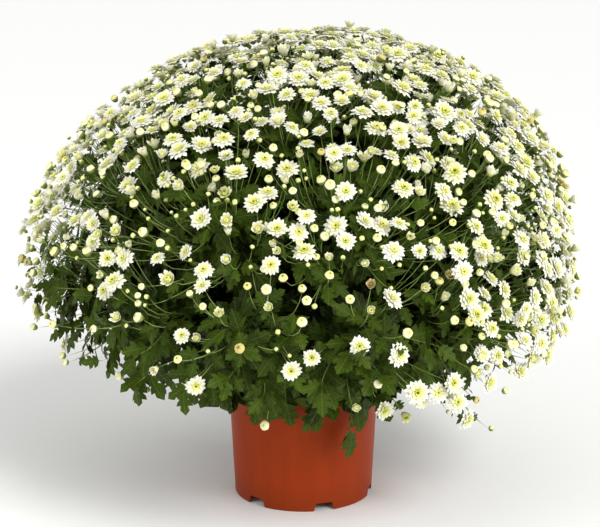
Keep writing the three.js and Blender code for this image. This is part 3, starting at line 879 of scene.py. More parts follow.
def closed_bud():
    """A closed bud of radius 1 on +Z: green scales below, and tight pale petals at the top."""
    bud = [(0, -0.92), (0.78, -0.55), (1.0, 0.15), (0.55, 0.84), (0, 0.98)]
    bud = revolved(bud, 8, [0, 0.12, 0.36, 0.86, 1.0])
    ragged = np.tile(0.14 * np.cos(np.pi * np.arange(8)), 3) * np.repeat([0.3, 1, 0.6], 8)
    bud.values["tone"] = bud.values["tone"] + np.concatenate([[0], ragged, [0]])
    return bud


# Rows of a leaf from its stalk's foot: share along, half-width, and how far the edge runs forward
LEAF_ROWS = np.array(
    [
        [0.22, 0.014, 0.0], [0.33, 0.22, -0.03], [0.43, 0.32, 0.03], [0.50, 0.15, 0.0],
        [0.58, 0.29, 0.0], [0.66, 0.35, 0.06], [0.73, 0.15, 0.01], [0.86, 0.19, 0.02],
    ]
)
INNER_LEAF_ROWS = LEAF_ROWS[[0, 2, 3, 5, 6, 7]]
SIDE_LEAF_ROWS = np.array(
    [[0.18, 0.02, 0.0], [0.34, 0.17, 0.0], [0.54, 0.24, 0.06], [0.66, 0.11, 0.0], [0.84, 0.1, 0.02]]
)
LEAF_STALK_SHARE = 0.25


def thin_blade(along, half, edges, rib, thick, tip, drawn, first):
    """A closed leaf from the origin to its tip: at each row a ring of an edge, the rib raised by
    `thick`, the other edge, and the rib sunk by it. `drawn` is where each row's veins are."""
    middle = np.stack([along, 0 * along, rib], axis=-1)
    rings = np.stack([edges[0], middle + thick, edges[1], middle - thick], axis=1)
    return swept(
        np.zeros((1, 3)), rings[None], np.array([tip]),
        along=np.concatenate([[first], np.repeat(drawn, 4), [1]]),
        across=np.concatenate([[0], (half[:, None] * [1, 0, -1, 0]).ravel(), [0]]),
        side=np.concatenate([[0.5], np.tile([0.5, 1, 0.5, 0], len(along)), [0.5]]),
    )


def lobed_leaf(arch, fold, twist, narrow=1.0, rows=LEAF_ROWS):
    """A leaf of length 1 along +X, upper side +Z. Its edge swings out to two pairs of lobes and a
    lobed tip. Past the stalk, at share s from it, the rib sinks by arch s^2, and at y across, the
    blade stands off it by fold |y| - 1.1 y^2 + twist s y."""
    along, half, shift = rows.T
    half = half * narrow
    blade = np.clip(along - LEAF_STALK_SHARE, 0, None) / (1 - LEAF_STALK_SHARE)
    rib = -arch * blade**2
    edges = []
    for y in (half, -half):
        lift = fold * half * blade**0.5 - 1.1 * half**2 + twist * blade * y
        edges.append(np.stack([along + shift, y, rib + lift], axis=-1))
    thick = np.where(along < LEAF_STALK_SHARE, 0.011, 0.004)[:, None] * UP
    return thin_blade(along, half, edges, rib, thick, (1.04, 0, -1.05 * arch), along, 0)


def small_leaf():
    """A narrow leaf of length 1 along +X from a flower stalk, with a sharp tip and a raised edge:
    the rib sinks by 0.2 x^2."""
    along, half = np.array([0.3, 0.66]), np.array([0.13, 0.15])
    rib = -0.2 * along**2
    edges = [np.stack([along, sign * half, rib + 0.05], -1) for sign in (1, -1)]
    drawn = 0.4 + 0.5 * along
    return thin_blade(along, half, edges, rib, 0.012 * UP, (1.0, 0, -0.22), drawn, 0.3)


# --- Materials -------------------------------------------------------------------------------


def plug(node, inputs):
    """Gives a node its inputs: a socket is linked, and anything else is a value."""
    for name, value in inputs.items():
        if isinstance(value, bpy.types.NodeSocket):
            node.id_data.links.new(value, node.inputs[name])
        else:
            node.inputs[name].default_value = value


def add_node(owner, kind, inputs=None, stops=(), **settings):
    """Adds one node to the tree of a material or a world: `settings` go to its own properties,
    `inputs` to its sockets, and `stops` are the places and colours of a ramp."""
    node = owner.node_tree.nodes.new(kind)
    for name, value in settings.items():
        setattr(node, name, value)
    plug(node, inputs or {})
    if stops:
        elements = node.color_ramp.elements
        while len(elements) < len(stops):
            elements.new(0.5)
        for element, (place, tint) in zip(elements, stops):
            element.position = place
            element.color = (*tint, 1)
    return node


def new_material(name, **values):
    """A material whose surface is one Principled node with these plain values."""
    material = bpy.data.materials.new(name)
    material.use_nodes = True
    surface = material.node_tree.nodes["Principled BSDF"]
    plug(surface, {socket.replace("_", " "): value for socket, value in values.items()})
    return material, surface


def shared(name, make, plant):
    """A material that several pieces have, made when the first of them asks for it."""
    return bpy.data.materials.get(name) or make(plant)


def make_polypropylene(pot):
    """Injection-moulded polypropylene, terracotta coloured: a satin skin with faint upright flow
    streaks and a fine mould grain, so it mirrors lamps as wide soft bands."""
    material, surface = new_material(
        "moulded_polypropylene", Roughness=0.44, IOR=1.49, Specular_IOR_Level=0.11
    )
    tint = tuple(pot.plastic)
    place = add_node(material, "ShaderNodeTexCoord").outputs["Object"]
    # Flow streaks about 12 mm apart round the wall and ten times as long
    stretch = add_node(material, "ShaderNodeMapping", {"Vector": place, "Scale": (80, 80, 7)})
    streaks = add_node(
        material, "ShaderNodeTexNoise",
        {"Vector": stretch.outputs["Vector"], "Scale": 1.0, "Detail": 3.0, "Roughness": 0.55},
    )
    ramp = add_node(
        material, "ShaderNodeValToRGB", {"Fac": streaks.outputs["Fac"]},
        stops=[(0.3, tuple(0.92 * c for c in tint)), (0.7, tuple(1.06 * c for c in tint))],
    )
    # The wall's colour darkens towards the foot
    height = add_node(material, "ShaderNodeSeparateXYZ", {"Vector": place}).outputs["Z"]
    low = add_node(
        material, "ShaderNodeMapRange",
        {"Value": height, "From Min": 0.045, "From Max": 0.0, "To Min": 0.0, "To Max": 0.8},
    )
    darker_foot = (*mixed(tint, (0.1, 0.02, 0.005), 0.45), 1)
    blend = add_node(
        material, "ShaderNodeMix",
        {0: low.outputs["Result"], 6: ramp.outputs["Color"], 7: darker_foot}, data_type="RGBA",
    )
    # Mould grain of about 0.8 mm
    grain = add_node(
        material, "ShaderNodeTexNoise", {"Vector": place, "Scale": 1250.0, "Detail": 2.0}
    )
    bump = add_node(
        material, "ShaderNodeBump",
        {"Height": grain.outputs["Fac"], "Strength": 0.25, "Distance": 0.0003},
    )
    plug(surface, {"Base Color": blend.outputs[2], "Normal": bump.outputs["Normal"]})
    return material


def make_peat(pot):
    """Moist peat with bark fines: matte, dark, crumbly at 2 to 6 mm."""
    material, surface = new_material("peat_mix", Roughness=0.95)
    tint = tuple(pot.mix)
    place = add_node(material, "ShaderNodeTexCoord").outputs["Object"]
    crumbs = add_node(
        material, "ShaderNodeTexNoise",
        {"Vector": place, "Scale": 260.0, "Detail": 6.0, "Roughness": 0.7},
    ).outputs["Fac"]
    bark = mixed(tint, (0.3, 0.2, 0.12), 0.4)
    ramp = add_node(
        material, "ShaderNodeValToRGB", {"Fac": crumbs},
        stops=[(0.3, mixed(tint, BLACK, 0.6)), (0.6, tint), (0.8, bark)],
    )
    bump = add_node(
        material, "ShaderNodeBump", {"Height": crumbs, "Strength": 1.0, "Distance": 0.002}
    )
    plug(surface, {"Base Color": ramp.outputs["Color"], "Normal": bump.outputs["Normal"]})
    return material


def make_perlite():
    """Expanded perlite: white, pitted glass foam, matte."""
    material, surface = new_material("perlite", Roughness=0.9)
    place = add_node(material, "ShaderNodeTexCoord").outputs["Object"]
    pits = add_node(
        material, "ShaderNodeTexNoise", {"Vector": place, "Scale": 900.0, "Detail": 3.0}
    )
    ramp = add_node(
        material, "ShaderNodeValToRGB", {"Fac": pits.outputs["Fac"]},
        stops=[(0.35, linear("#B9B3A6")), (0.65, linear("#ECE9E0"))],
    )
    plug(surface, {"Base Color": ramp.outputs["Color"]})
    return material


def make_stalk_skin(plant):
    """Living stalk: green skin, darker and browner where it is old."""
    material, surface = new_material("green_stalk", Roughness=0.55, Specular_IOR_Level=0.2)
    tone = add_node(material, "ShaderNodeAttribute", attribute_name="tone").outputs["Fac"]
    place = add_node(material, "ShaderNodeTexCoord").outputs["Object"]
    # Blotches of about 8 mm along the stalk
    blotches = add_node(
        material, "ShaderNodeTexNoise", {"Vector": place, "Scale": 120.0, "Detail": 2.0}
    ).outputs["Fac"]
    change = add_node(
        material, "ShaderNodeMath", {0: blotches, 1: 0.22, 2: -0.11}, operation="MULTIPLY_ADD"
    ).outputs[0]
    blotched = add_node(material, "ShaderNodeMath", {0: tone, 1: change}, operation="ADD")
    green, wood = tuple(plant.stalk), tuple(plant.wood)
    ramp = add_node(
        material, "ShaderNodeValToRGB", {"Fac": blotched.outputs[0]},
        stops=[
            (0.0, wood), (0.35, mixed(wood, green, 0.45)), (0.75, mixed(green, wood, 0.15)),
            (1.0, green),
        ],
    )
    plug(surface, {"Base Color": ramp.outputs["Color"]})
    return material


def make_leaf_blade(plant):
    """Chrysanthemum leaf: satin dark green above with paler sunken veins and a quilted blade, dull
    and greyer below from its down. Leaves deep in the dome are painted darker as shade."""
    material, surface = new_material("leaf_blade", IOR=1.45, Specular_IOR_Level=0.12)
    read = {
        name: add_node(material, "ShaderNodeAttribute", attribute_name=name).outputs["Fac"]
        for name in ("along", "across", "side", "shade", "age")
    }
    off_rib = add_node(
        material, "ShaderNodeMath", {0: read["across"]}, operation="ABSOLUTE"
    ).outputs[0]
    rib = add_node(
        material, "ShaderNodeMapRange",
        {"Value": off_rib, "From Min": 0.006, "From Max": 0.02, "To Min": 1.0, "To Max": 0.0},
    ).outputs["Result"]
    # Side veins leave the rib at about 45 degrees, every eighth of the leaf's length
    run = add_node(
        material, "ShaderNodeMath", {0: off_rib, 1: -0.9, 2: read["along"]},
        operation="MULTIPLY_ADD",
    ).outputs[0]
    cycle = add_node(
        material, "ShaderNodeMath", {0: run, 1: 0.0625}, operation="PINGPONG"
    ).outputs[0]
    vein = add_node(
        material, "ShaderNodeMapRange",
        {"Value": cycle, "From Min": 0.004, "From Max": 0.013, "To Min": 0.75, "To Max": 0.0},
    ).outputs["Result"]
    veins = add_node(
        material, "ShaderNodeMath", {0: rib, 1: vein}, operation="MAXIMUM"
    ).outputs[0]
    # Mottling of about 10 mm over the plant's leaves
    place = add_node(material, "ShaderNodeTexCoord").outputs["Object"]
    mottle = add_node(
        material, "ShaderNodeTexNoise", {"Vector": place, "Scale": 95.0, "Detail": 4.0}
    ).outputs["Fac"]
    # Each leaf's random tone plus its age. Leaves deep in the dome have low ages, so this is partly
    # painted shade.
    own = add_node(
        material, "ShaderNodeMath", {0: read["shade"], 1: 0.45, 2: read["age"]},
        operation="MULTIPLY_ADD",
    ).outputs[0]
    light = add_node(
        material, "ShaderNodeMath", {0: mottle, 1: 0.5, 2: own}, operation="MULTIPLY_ADD"
    ).outputs[0]
    grown, young = tuple(plant.leaf), tuple(plant.young_leaf)
    # The darkest stop is reached by leaves deep in the dome: painted shade, as well as old dark
    # leaves
    upper = add_node(
        material, "ShaderNodeValToRGB", {"Fac": light},
        stops=[
            (0.2, mixed(grown, BLACK, 0.5)), (0.55, grown), (0.85, mixed(grown, young, 0.6)),
            (1.0, young),
        ],
    ).outputs["Color"]
    vein_share = add_node(
        material, "ShaderNodeMath", {0: veins, 1: 0.42}, operation="MULTIPLY"
    ).outputs[0]
    vein_tint = (*mixed(young, (0.45, 0.58, 0.14), 0.25), 1)
    veined = add_node(
        material, "ShaderNodeMix", {0: vein_share, 6: upper, 7: vein_tint}, data_type="RGBA"
    ).outputs[2]
    above = add_node(
        material, "ShaderNodeMath", {0: read["side"], 1: 0.5}, operation="GREATER_THAN"
    ).outputs[0]
    sides = add_node(
        material, "ShaderNodeMix", {0: above, 6: (*plant.leaf_underside, 1), 7: veined},
        data_type="RGBA",
    ).outputs[2]
    rough = add_node(
        material, "ShaderNodeMapRange", {"Value": above, "To Min": 0.8, "To Max": 0.46}
    ).outputs["Result"]
    # The blade bulges between its veins by about 0.6 mm
    sunk = add_node(
        material, "ShaderNodeMath", {0: veins, 1: -1.0}, operation="MULTIPLY"
    ).outputs[0]
    bulge = add_node(
        material, "ShaderNodeMath", {0: mottle, 1: 0.6, 2: sunk}, operation="MULTIPLY_ADD"
    ).outputs[0]
    quilt = add_node(
        material, "ShaderNodeBump", {"Height": bulge, "Strength": 0.55, "Distance": 0.0012}
    ).outputs["Normal"]
    plug(surface, {"Base Color": sides, "Roughness": rough, "Normal": quilt})
    return material


def make_petals(plant):
    """Ray florets: matte white, faintly ribbed, cream to greenish yellow towards the heart, with
    a dull olive eye that is painted darker at its very middle as shade in the dimple; old ones turn
    tan."""
    material, surface = new_material("ray_petals", Roughness=0.62, Specular_IOR_Level=0.25)
    tone = add_node(material, "ShaderNodeAttribute", attribute_name="tone").outputs["Fac"]
    age = add_node(material, "ShaderNodeAttribute", attribute_name="age").outputs["Fac"]
    white, heart, eye = tuple(plant.petal), tuple(plant.petal_heart), tuple(plant.eye)
    greener = add_node(
        material, "ShaderNodeMath", {0: age, 1: -0.14, 2: tone}, operation="MULTIPLY_ADD"
    ).outputs[0]
    ramp = add_node(
        material, "ShaderNodeValToRGB", {"Fac": greener},
        # The darkest stop, at the middle of a bloom's eye or hollow, is painted shade; the olive
        # eye itself is the florets' own colour
        stops=[
            (0.0, mixed(eye, BLACK, 0.35)), (0.06, eye), (0.14, mixed(eye, heart, 0.8)),
            (0.36, heart), (0.56, mixed(heart, white, 0.55)), (0.76, mixed(heart, white, 0.93)),
            (1.0, white),
        ],
    ).outputs["Color"]
    # Cream blush in patches of about 20 mm
    place = add_node(material, "ShaderNodeTexCoord").outputs["Object"]
    blush = add_node(
        material, "ShaderNodeTexNoise", {"Vector": place, "Scale": 48.0, "Detail": 2.0}
    ).outputs["Fac"]
    share = add_node(
        material, "ShaderNodeMapRange",
        {"Value": blush, "From Min": 0.45, "From Max": 0.75, "To Min": 0.0, "To Max": 0.35},
    ).outputs["Result"]
    cream = add_node(
        material, "ShaderNodeMix", {0: share, 6: ramp, 7: (*linear("#F6EFCF"), 1)},
        data_type="RGBA", blend_type="MULTIPLY",
    ).outputs[2]
    # A faded head, whose age is over 1, is tan
    faded = add_node(
        material, "ShaderNodeMapRange",
        {"Value": age, "From Min": 1.0, "From Max": 1.6, "To Min": 0.0, "To Max": 0.6},
    ).outputs["Result"]
    tan = add_node(
        material, "ShaderNodeMix", {0: faded, 6: cream, 7: (*linear("#A77F56"), 1)},
        data_type="RGBA",
    ).outputs[2]
    # Ribs too fine to show at 0.3 mm are drawn at about 1 mm
    ribs = add_node(
        material, "ShaderNodeTexNoise", {"Vector": place, "Scale": 900.0, "Detail": 1.0}
    ).outputs["Fac"]
    bump = add_node(
        material, "ShaderNodeBump", {"Height": ribs, "Strength": 0.2, "Distance": 0.0004}
    )
    plug(surface, {"Base Color": tan, "Normal": bump.outputs["Normal"]})
    return material


def make_calyx(plant):
    """Overlapping green scales with thin pale edges, slightly downy."""
    material, surface = new_material("calyx_scales", Roughness=0.7, Specular_IOR_Level=0.2)
    tone = add_node(material, "ShaderNodeAttribute", attribute_name="tone").outputs["Fac"]
    place = add_node(material, "ShaderNodeTexCoord").outputs["Object"]
    # Scales about 2 mm wide
    scales = add_node(
        material, "ShaderNodeTexVoronoi", {"Vector": place, "Scale": 450.0}
    ).outputs["Distance"]
    green = tuple(plant.calyx)
    paler = add_node(
        material, "ShaderNodeMath", {0: scales, 1: 0.35, 2: tone}, operation="MULTIPLY_ADD"
    ).outputs[0]
    edge = mixed(green, (0.75, 0.75, 0.35), 0.35)
    ramp = add_node(
        material, "ShaderNodeValToRGB", {"Fac": paler},
        stops=[(0.1, mixed(green, BLACK, 0.35)), (0.6, green), (1.0, edge)],
    )
    plug(surface, {"Base Color": ramp.outputs["Color"]})
    return material


def make_bud_skin(plant):
    """A closed bud: ragged green scales below, and tight cream-green petals above them."""
    material, surface = new_material("bud_skin", Roughness=0.6)
    tone = add_node(material, "ShaderNodeAttribute", attribute_name="tone").outputs["Fac"]
    age = add_node(material, "ShaderNodeAttribute", attribute_name="age").outputs["Fac"]
    green, heart = tuple(plant.calyx), tuple(plant.petal_heart)
    younger = add_node(
        material, "ShaderNodeMath", {0: age, 1: -0.3, 2: tone}, operation="MULTIPLY_ADD"
    ).outputs[0]
    ramp = add_node(
        material, "ShaderNodeValToRGB", {"Fac": younger},
        stops=[
            (0.0, mixed(green, BLACK, 0.35)), (0.34, green), (0.5, mixed(green, heart, 0.55)),
            (0.66, mixed(heart, (0.9, 0.88, 0.62), 0.45)), (1.0, mixed(heart, green, 0.25)),
        ],
    )
    plug(surface, {"Base Color": ramp.outputs["Color"]})
    return material


# --- Pot and mix -----------------------------------------------------------------------------

NOTCHES = 6  # in the pot's foot, with a drain hole at each
NOTCH_STEP = 2 * math.pi / NOTCHES
CRUMBS = 420  # on the mix; every seventh is perlite
CLEARANCE = 0.0003  # between the mix and the pot


def pot_radius(pot, height):
    """Outside radius of the wall: foot radius + height tan taper."""
    return pot.foot_radius + height * math.tan(pot.taper)


def notch_turns(pot):
    """Where the middle of each notch is."""
    return pot.notch_turn + np.arange(NOTCHES) * NOTCH_STEP


def pot_wall(pot):
    """The wall as one closed band: (turn, place round the wall's section). The section's foot
    rises to the notch height inside each notch, with sloping sides."""
    wide = pot.notch_foot_width / 2 / pot.foot_radius
    narrow = pot.notch_top_width / 2 / pot.foot_radius
    sides = wide + (narrow - wide) * np.linspace(-0.25, 1.25, 9)
    marks = np.concatenate([[1.12 * wide], sides, [0.6 * narrow, 0.2 * narrow]])
    even = np.linspace(0, NOTCH_STEP, 18, endpoint=False)[1:]
    even = even[(even > 1.15 * wide) & (even < NOTCH_STEP - 1.15 * wide)]
    offsets = np.sort(np.concatenate([-marks, marks, even]))
    turns = (notch_turns(pot)[:, None] + offsets).ravel()[:, None]
    slant = (wide - np.abs(offsets)) / (wide - narrow)
    cut = 0.5 * np.clip(slant, 0, 1) + 0.5 * smooth_step(-0.2, 1.2, slant)
    foot = np.tile(pot.notch_height * cut, NOTCHES)
    edge = 0.0005
    top, lip, proud = pot.height, pot.height - pot.lip_height, pot.lip_proud

    def outer(height):
        """Radius of the wall's outer face."""
        return pot_radius(pot, height)

    def inner(height):
        """Radius of its inner face: less by the wall."""
        return pot_radius(pot, height) - pot.wall

    # Radius and height at each place: up the outside, over the rim and down the inside
    rows = (
        (inner(foot) + edge, foot),
        (outer(foot) - edge, foot),
        (outer(foot + edge), foot + edge),
        (outer(0.016), 0.016),
        (outer(0.07), 0.07),
        (outer(0.12), 0.12),
        (outer(lip - 0.0015), lip - 0.0015),
        (outer(lip) + 0.5 * proud, lip - 0.0003),
        (outer(lip) + proud, lip + 0.0012),
        (outer(top) + proud, top - 0.0012),
        (outer(top) + proud - 0.0007, top - 0.0002),
        (outer(top), top),
        (inner(top) + 0.0007, top - 0.0002),
        (inner(top), top - 0.0012),
        (inner(0.10), 0.10),
        (inner(0.016), 0.016),
        (inner(foot + edge), foot + edge),
    )
    radius, height = (
        np.stack([np.broadcast_to(value, foot.shape) for value in column], axis=1)
        for column in zip(*rows)
    )
    points = np.stack([radius * np.cos(turns), radius * np.sin(turns), height], axis=-1)
    at = np.arange(radius.size).reshape(radius.shape)
    onward, upward = np.roll(at, -1, axis=0), np.roll(at, -1, axis=1)
    return Skin(points, np.stack([at, onward, np.roll(onward, -1, axis=1), upward], axis=-1))


def pot_floor(pot):
    """The pot's floor in six equal sectors, each a sheet between its drain hole's circle and its
    own outline, found along rays from the hole's middle, with an upper and a lower face."""
    radius, hole = pot_radius(pot, pot.foot_height) - 0.6 * pot.wall, pot.drain_ring_radius
    corner = math.atan2(0.5 * radius, math.cos(math.pi / 6) * radius - hole)
    rays = np.concatenate([np.linspace(0, corner, 9), np.linspace(corner, np.pi, 12)[1:]])
    rays = np.concatenate([rays, -rays[-2:0:-1]])
    count = len(rays)
    ray = np.stack([np.cos(rays), np.sin(rays)], axis=1)
    middle = np.array([hole, 0.0])
    # To the outer circle: |middle + t ray| = radius; to the sector's sides: y = x tan 30 degrees
    reach = -ray @ middle + np.sqrt((ray @ middle) ** 2 + radius**2 - hole**2)
    slope = math.tan(math.pi / 6)
    side = np.abs(ray[:, 1]) - slope * ray[:, 0]
    reach = np.minimum(reach, np.where(side > 1e-9, slope * hole / np.maximum(side, 1e-9), np.inf))
    circle, outline = middle + pot.drain_radius * ray, middle + reach[:, None] * ray
    low, high = pot.foot_height, pot.foot_height + pot.floor_thickness
    rings = [(outline, low), (circle, low), (circle, high), (outline, high)]
    points = np.stack([np.column_stack([loop, np.full(count, z)]) for loop, z in rings])
    at = np.arange(4 * count).reshape(4, count)
    onward = np.roll(at, -1, axis=1)
    faces = np.stack([at[:3], at[1:], onward[1:], onward[:3]], axis=-1).reshape(-1, 4)
    on_rim = np.linalg.norm(outline, axis=1) > radius - 1e-6
    rim = np.flatnonzero(on_rim & np.roll(on_rim, -1))
    edge = np.stack([at[3, rim], at[0, rim], onward[0, rim], onward[3, rim]], axis=-1)
    sector = Skin(points, np.concatenate([faces, edge])[:, ::-1])
    turns = notch_turns(pot)
    frames = np.zeros((NOTCHES, 3, 3))
    frames[:, 0, 0] = frames[:, 1, 1] = np.cos(turns)
    frames[:, 1, 0], frames[:, 0, 1] = np.sin(turns), -np.sin(turns)
    frames[:, 2, 2] = 1
    return weld(scatter(sector, np.zeros((NOTCHES, 3)), frames, np.ones(NOTCHES)))


def weld(skin):
    """The same skin with points closer than a hundredth of a millimetre made one."""
    cells = np.round(skin.points / 1e-5)
    _, kept, number = np.unique(cells, axis=0, return_index=True, return_inverse=True)
    faces = np.where(skin.faces < 0, -1, np.ravel(number)[skin.faces])
    return Skin(skin.points[kept], faces, skin.finish)


def mix_surface(pot, draw):
    """The mix as one closed body whose top is a sum of seven waves, with crumbs and perlite lying
    on it."""
    corners, rows = 96, 18
    turn = 2 * np.pi * np.arange(corners) / corners
    bottom = pot.foot_height + pot.floor_thickness + CLEARANCE
    low_radius, top_radius = (
        pot_radius(pot, height) - pot.wall - CLEARANCE for height in (bottom, pot.mix_height)
    )
    radius = np.concatenate([[low_radius], top_radius * np.linspace(1, 0.04, rows)])
    radius = np.repeat(radius[:, None], corners, axis=1)
    x, y = radius * np.cos(turn), radius * np.sin(turn)
    waves = draw.normal(0, 1, (7, 2)) * 120
    phase = draw.uniform(0, 2 * np.pi, 7)

    def swell(x, y):
        """0.7 mm times the sum of sin(a x + b y + p)."""
        return 0.0007 * sum(np.sin(a * x + b * y + p) for (a, b), p in zip(waves, phase))

    height = pot.mix_height - 0.001 + swell(x, y) * smooth_step(1.0, 0.9, radius / radius.max())
    height[0] = bottom
    top = np.array([[0, 0, pot.mix_height + swell(0, 0)]])
    body = swept(np.array([[0, 0, bottom]]), np.stack([x, y, height], -1)[None], top)
    body.values = {"tone": np.zeros(len(body.points))}

    pebble = [(0, -0.7), (0.9, -0.35), (0.85, 0.4), (0, 0.75)]
    pebble = revolved(pebble, 6, [0, 0, 0, 0], ruffle=0.16)
    turns = draw.uniform(0, 2 * np.pi, CRUMBS)
    reach = top_radius * 0.95 * np.sqrt(draw.random(CRUMBS))
    place = reach[:, None] * direction(np.pi / 2, turns)
    place[:, 2] = pot.mix_height - 0.0005 + swell(place[:, 0], place[:, 1])
    axis = unit(draw.normal(size=(CRUMBS, 3)))
    sizes = draw.uniform(0.0012, 0.0034, (CRUMBS, 1)) * draw.uniform(0.7, 1.3, (CRUMBS, 3))
    crumbs = scatter(pebble, place, frames_of(square_to(axis)[0], axis), sizes)
    perlite = (np.arange(CRUMBS) % 7 == 0).astype(int)
    crumbs.finish = np.repeat(perlite, len(pebble.faces))
    return join([body, crumbs])


# --- Operators -------------------------------------------------------------------------------

STEM_ROWS = 16
FLOOR_HALF = 14.0  # half the studio floor's width
FLOOR_DROP = 0.0003  # of the studio floor under the pot's foot
LAMP_AIM = (0, 0, 0.35)


def tier_nodes(prefix, first, last):
    """The CAD nodes of one tier's stems."""
    return [f"{prefix}_{number + 1:02d}" for number in range(first, last)]


def in_tier(stem, first, last):
    """Which of the stems' numbers are in a tier."""
    return (stem >= first) & (stem < last)


class MUM_OT_pot(bpy.types.Operator):
    """Nursery pot: tapered wall with a lip, a notched foot and a floor with drain holes"""

    bl_idname = "mum.pot"
    bl_label = "Pot"

    def execute(self, context):
        pot = context.scene.mum_pot
        skin = join([pot_wall(pot), pot_floor(pot)])
        add_piece("nursery_pot", skin, [make_polypropylene(pot)], ["pot"], 40)
        return {"FINISHED"}


class MUM_OT_mix(bpy.types.Operator):
    """Potting mix with crumbs and perlite on top"""

    bl_idname = "mum.mix"
    bl_label = "Potting mix"

    def execute(self, context):
        pot = context.scene.mum_pot
        skin = mix_surface(pot, np.random.default_rng(SEED + 2))
        materials = [make_peat(pot), make_perlite()]
        add_piece("potting_mix", skin, materials, ["soil"], 40)
        return {"FINISHED"}


class MUM_OT_stems(bpy.types.Operator):
    """Main stems: from the mix up to the fork, and out along their own directions"""

    bl_idname = "mum.stems"
    bl_label = "Main stems"

    def execute(self, context):
        plant = context.scene.mum_plant
        share = np.linspace(0, 1, STEM_ROWS)
        lines = bezier(stem_controls(plan(context.scene.name)), share)
        radii = np.tile(plant.stem_radius * (1 - 0.62 * share), (STEM_COUNT, 1))
        tone = np.tile(0.75 * share, (STEM_COUNT, 1))
        skin = tubes(lines, radii, 8, tone=tone)
        materials = [shared("green_stalk", make_stalk_skin, plant)]
        nodes = tier_nodes("leafy_stem", 0, STEM_COUNT)
        add_piece("main_stems", skin, materials, nodes, 60)
        return {"FINISHED"}


class MUM_OT_leaves(bpy.types.Operator):
    """Lobed leaves on the stems, stalks and shoots, one piece for each tier of the dome"""

    bl_idname = "mum.leaves"
    bl_label = "Leaves"

    def execute(self, context):
        plant = context.scene.mum_plant
        leaves = leaf_plan(context.scene.name)
        shapes = [
            lobed_leaf(0.16, 0.3, 0.2),
            lobed_leaf(0.34, 0.12, -0.25, 0.94),
            lobed_leaf(0.24, 0.5, 0.0, 1.04),
            lobed_leaf(0.3, 0.2, 0.1, 1.05, INNER_LEAF_ROWS),
            lobed_leaf(0.2, 0.35, 0.1, 1.0, SIDE_LEAF_ROWS),
        ]
        for tier, first, last in TIERS:
            skins = []
            for number, shape in enumerate(shapes):
                mine = (leaves["shape"] == number) & in_tier(leaves["stem"], first, last)
                point, turned, length, shade, age = (
                    leaves[name][mine] for name in ("point", "frame", "length", "shade", "age")
                )
                skins.append(scatter(shape, point, turned, length, shade=shade, age=age))
            materials = [shared("leaf_blade", make_leaf_blade, plant)]
            nodes = tier_nodes("leafy_stem", first, last)
            add_piece(f"leaves_{tier}", join(skins), materials, nodes, 75)
        return {"FINISHED"}


class MUM_OT_stalks(bpy.types.Operator):
    """Flower stalks with their narrow leaves, and leafy shoots, one piece for each tier"""

    bl_idname = "mum.stalks"
    bl_label = "Flower stalks"

    def execute(self, context):
        plant = context.scene.mum_plant
        parts = plan(context.scene.name)
        draw = np.random.default_rng(SEED + 3)
        shoots = len(parts["shoots"]) + len(parts["lip_shoots"])
        controls = np.concatenate([parts["stalk"], parts["shoots"], parts["lip_shoots"]])
        stem = np.concatenate([parts["stem"], parts["shoot_stem"], parts["lip_stem"]])
        lead = np.concatenate([parts["parent"] < 0, np.ones(shoots, bool)])
        thick = plant.stalk_radius * np.where(lead, 1.0, 0.72)
        slim = np.concatenate([np.full(len(parts["stalk"]), 0.28), np.full(shoots, 0.55)])

        def stalks(chosen, rows, corners, tones):
            """Stalks of `rows` rows that thin towards the head, paler as they go."""
            share = np.linspace(0, 1, rows)
            radii = thick[chosen, None] * (1 - slim[chosen, None] * share)
            tone = np.broadcast_to(tones[0] + (tones[1] - tones[0]) * share, radii.shape)
            return tubes(bezier(controls[chosen], share), radii, corners, tone=tone)

        def bracts(chosen, low, high):
            """One narrow leaf on each stalk, between two shares of its length."""
            count = chosen.sum()
            at = draw.uniform(low, high, (count, 1))
            point, way = bezier(controls[chosen], at)[:, 0], bezier_way(controls[chosen], at)[:, 0]
            along = unit(0.75 * way + around(way, draw.uniform(0, 2 * np.pi, (count, 1))))
            leaves = scatter(
                small_leaf(), point, frames_of(along, squared(way, along)),
                draw.uniform(0.010, 0.024, count), shade=draw.random(count),
                age=np.full(count, 0.55),
            )
            leaves.finish = np.ones(len(leaves.faces), int)
            return leaves

        for tier, first, last in TIERS:
            leading = in_tier(stem, first, last) & lead
            others = in_tier(stem, first, last) & ~lead
            skin = join(
                [
                    stalks(leading, 8, 5, (0.3, 1.05)),
                    stalks(others, 7, 3, (0.7, 1.05)),
                    bracts(leading, 0.3, 0.6),
                    bracts(leading, 0.6, 0.93),
                    bracts(others, 0.3, 0.9),
                ]
            )
            materials = [
                shared("green_stalk", make_stalk_skin, plant),
                shared("leaf_blade", make_leaf_blade, plant),
            ]
            nodes = tier_nodes("spray", first, last)
            add_piece(f"flower_stalks_{tier}", skin, materials, nodes, 70)
        return {"FINISHED"}


def bloom_copies(parts, shapes, chosen, fading, faint, tall, draw):
    """Copies of one kind of head, each turned by chance about its face and given one of the shapes.
    A share of them, `fading`, is old and turns tan, with up to `faint` more age. `tall` is the
    least and the most that a head is stretched along its face."""
    count, face = len(chosen), parts["face"][chosen]
    frames = frames_of(around(face, draw.uniform(0, 2 * np.pi, (count, 1))), face)
    age = np.clip(draw.normal(0.25, 0.3, count), -0.3, 1)
    age = np.where(draw.random(count) < fading, 1.05 + faint * draw.random(count), age)
    stretch, across = draw.uniform(*tall, count), np.ones(count)
    sizes = parts["radii"][chosen, None] * np.stack([across, across, stretch], axis=1)
    places = parts["places"][chosen]
    skins = []
    for number, shape in enumerate(shapes):
        mine = np.arange(count) % len(shapes) == number
        skins.append(scatter(shape, places[mine], frames[mine], sizes[mine], age=age[mine]))
    return join(skins)


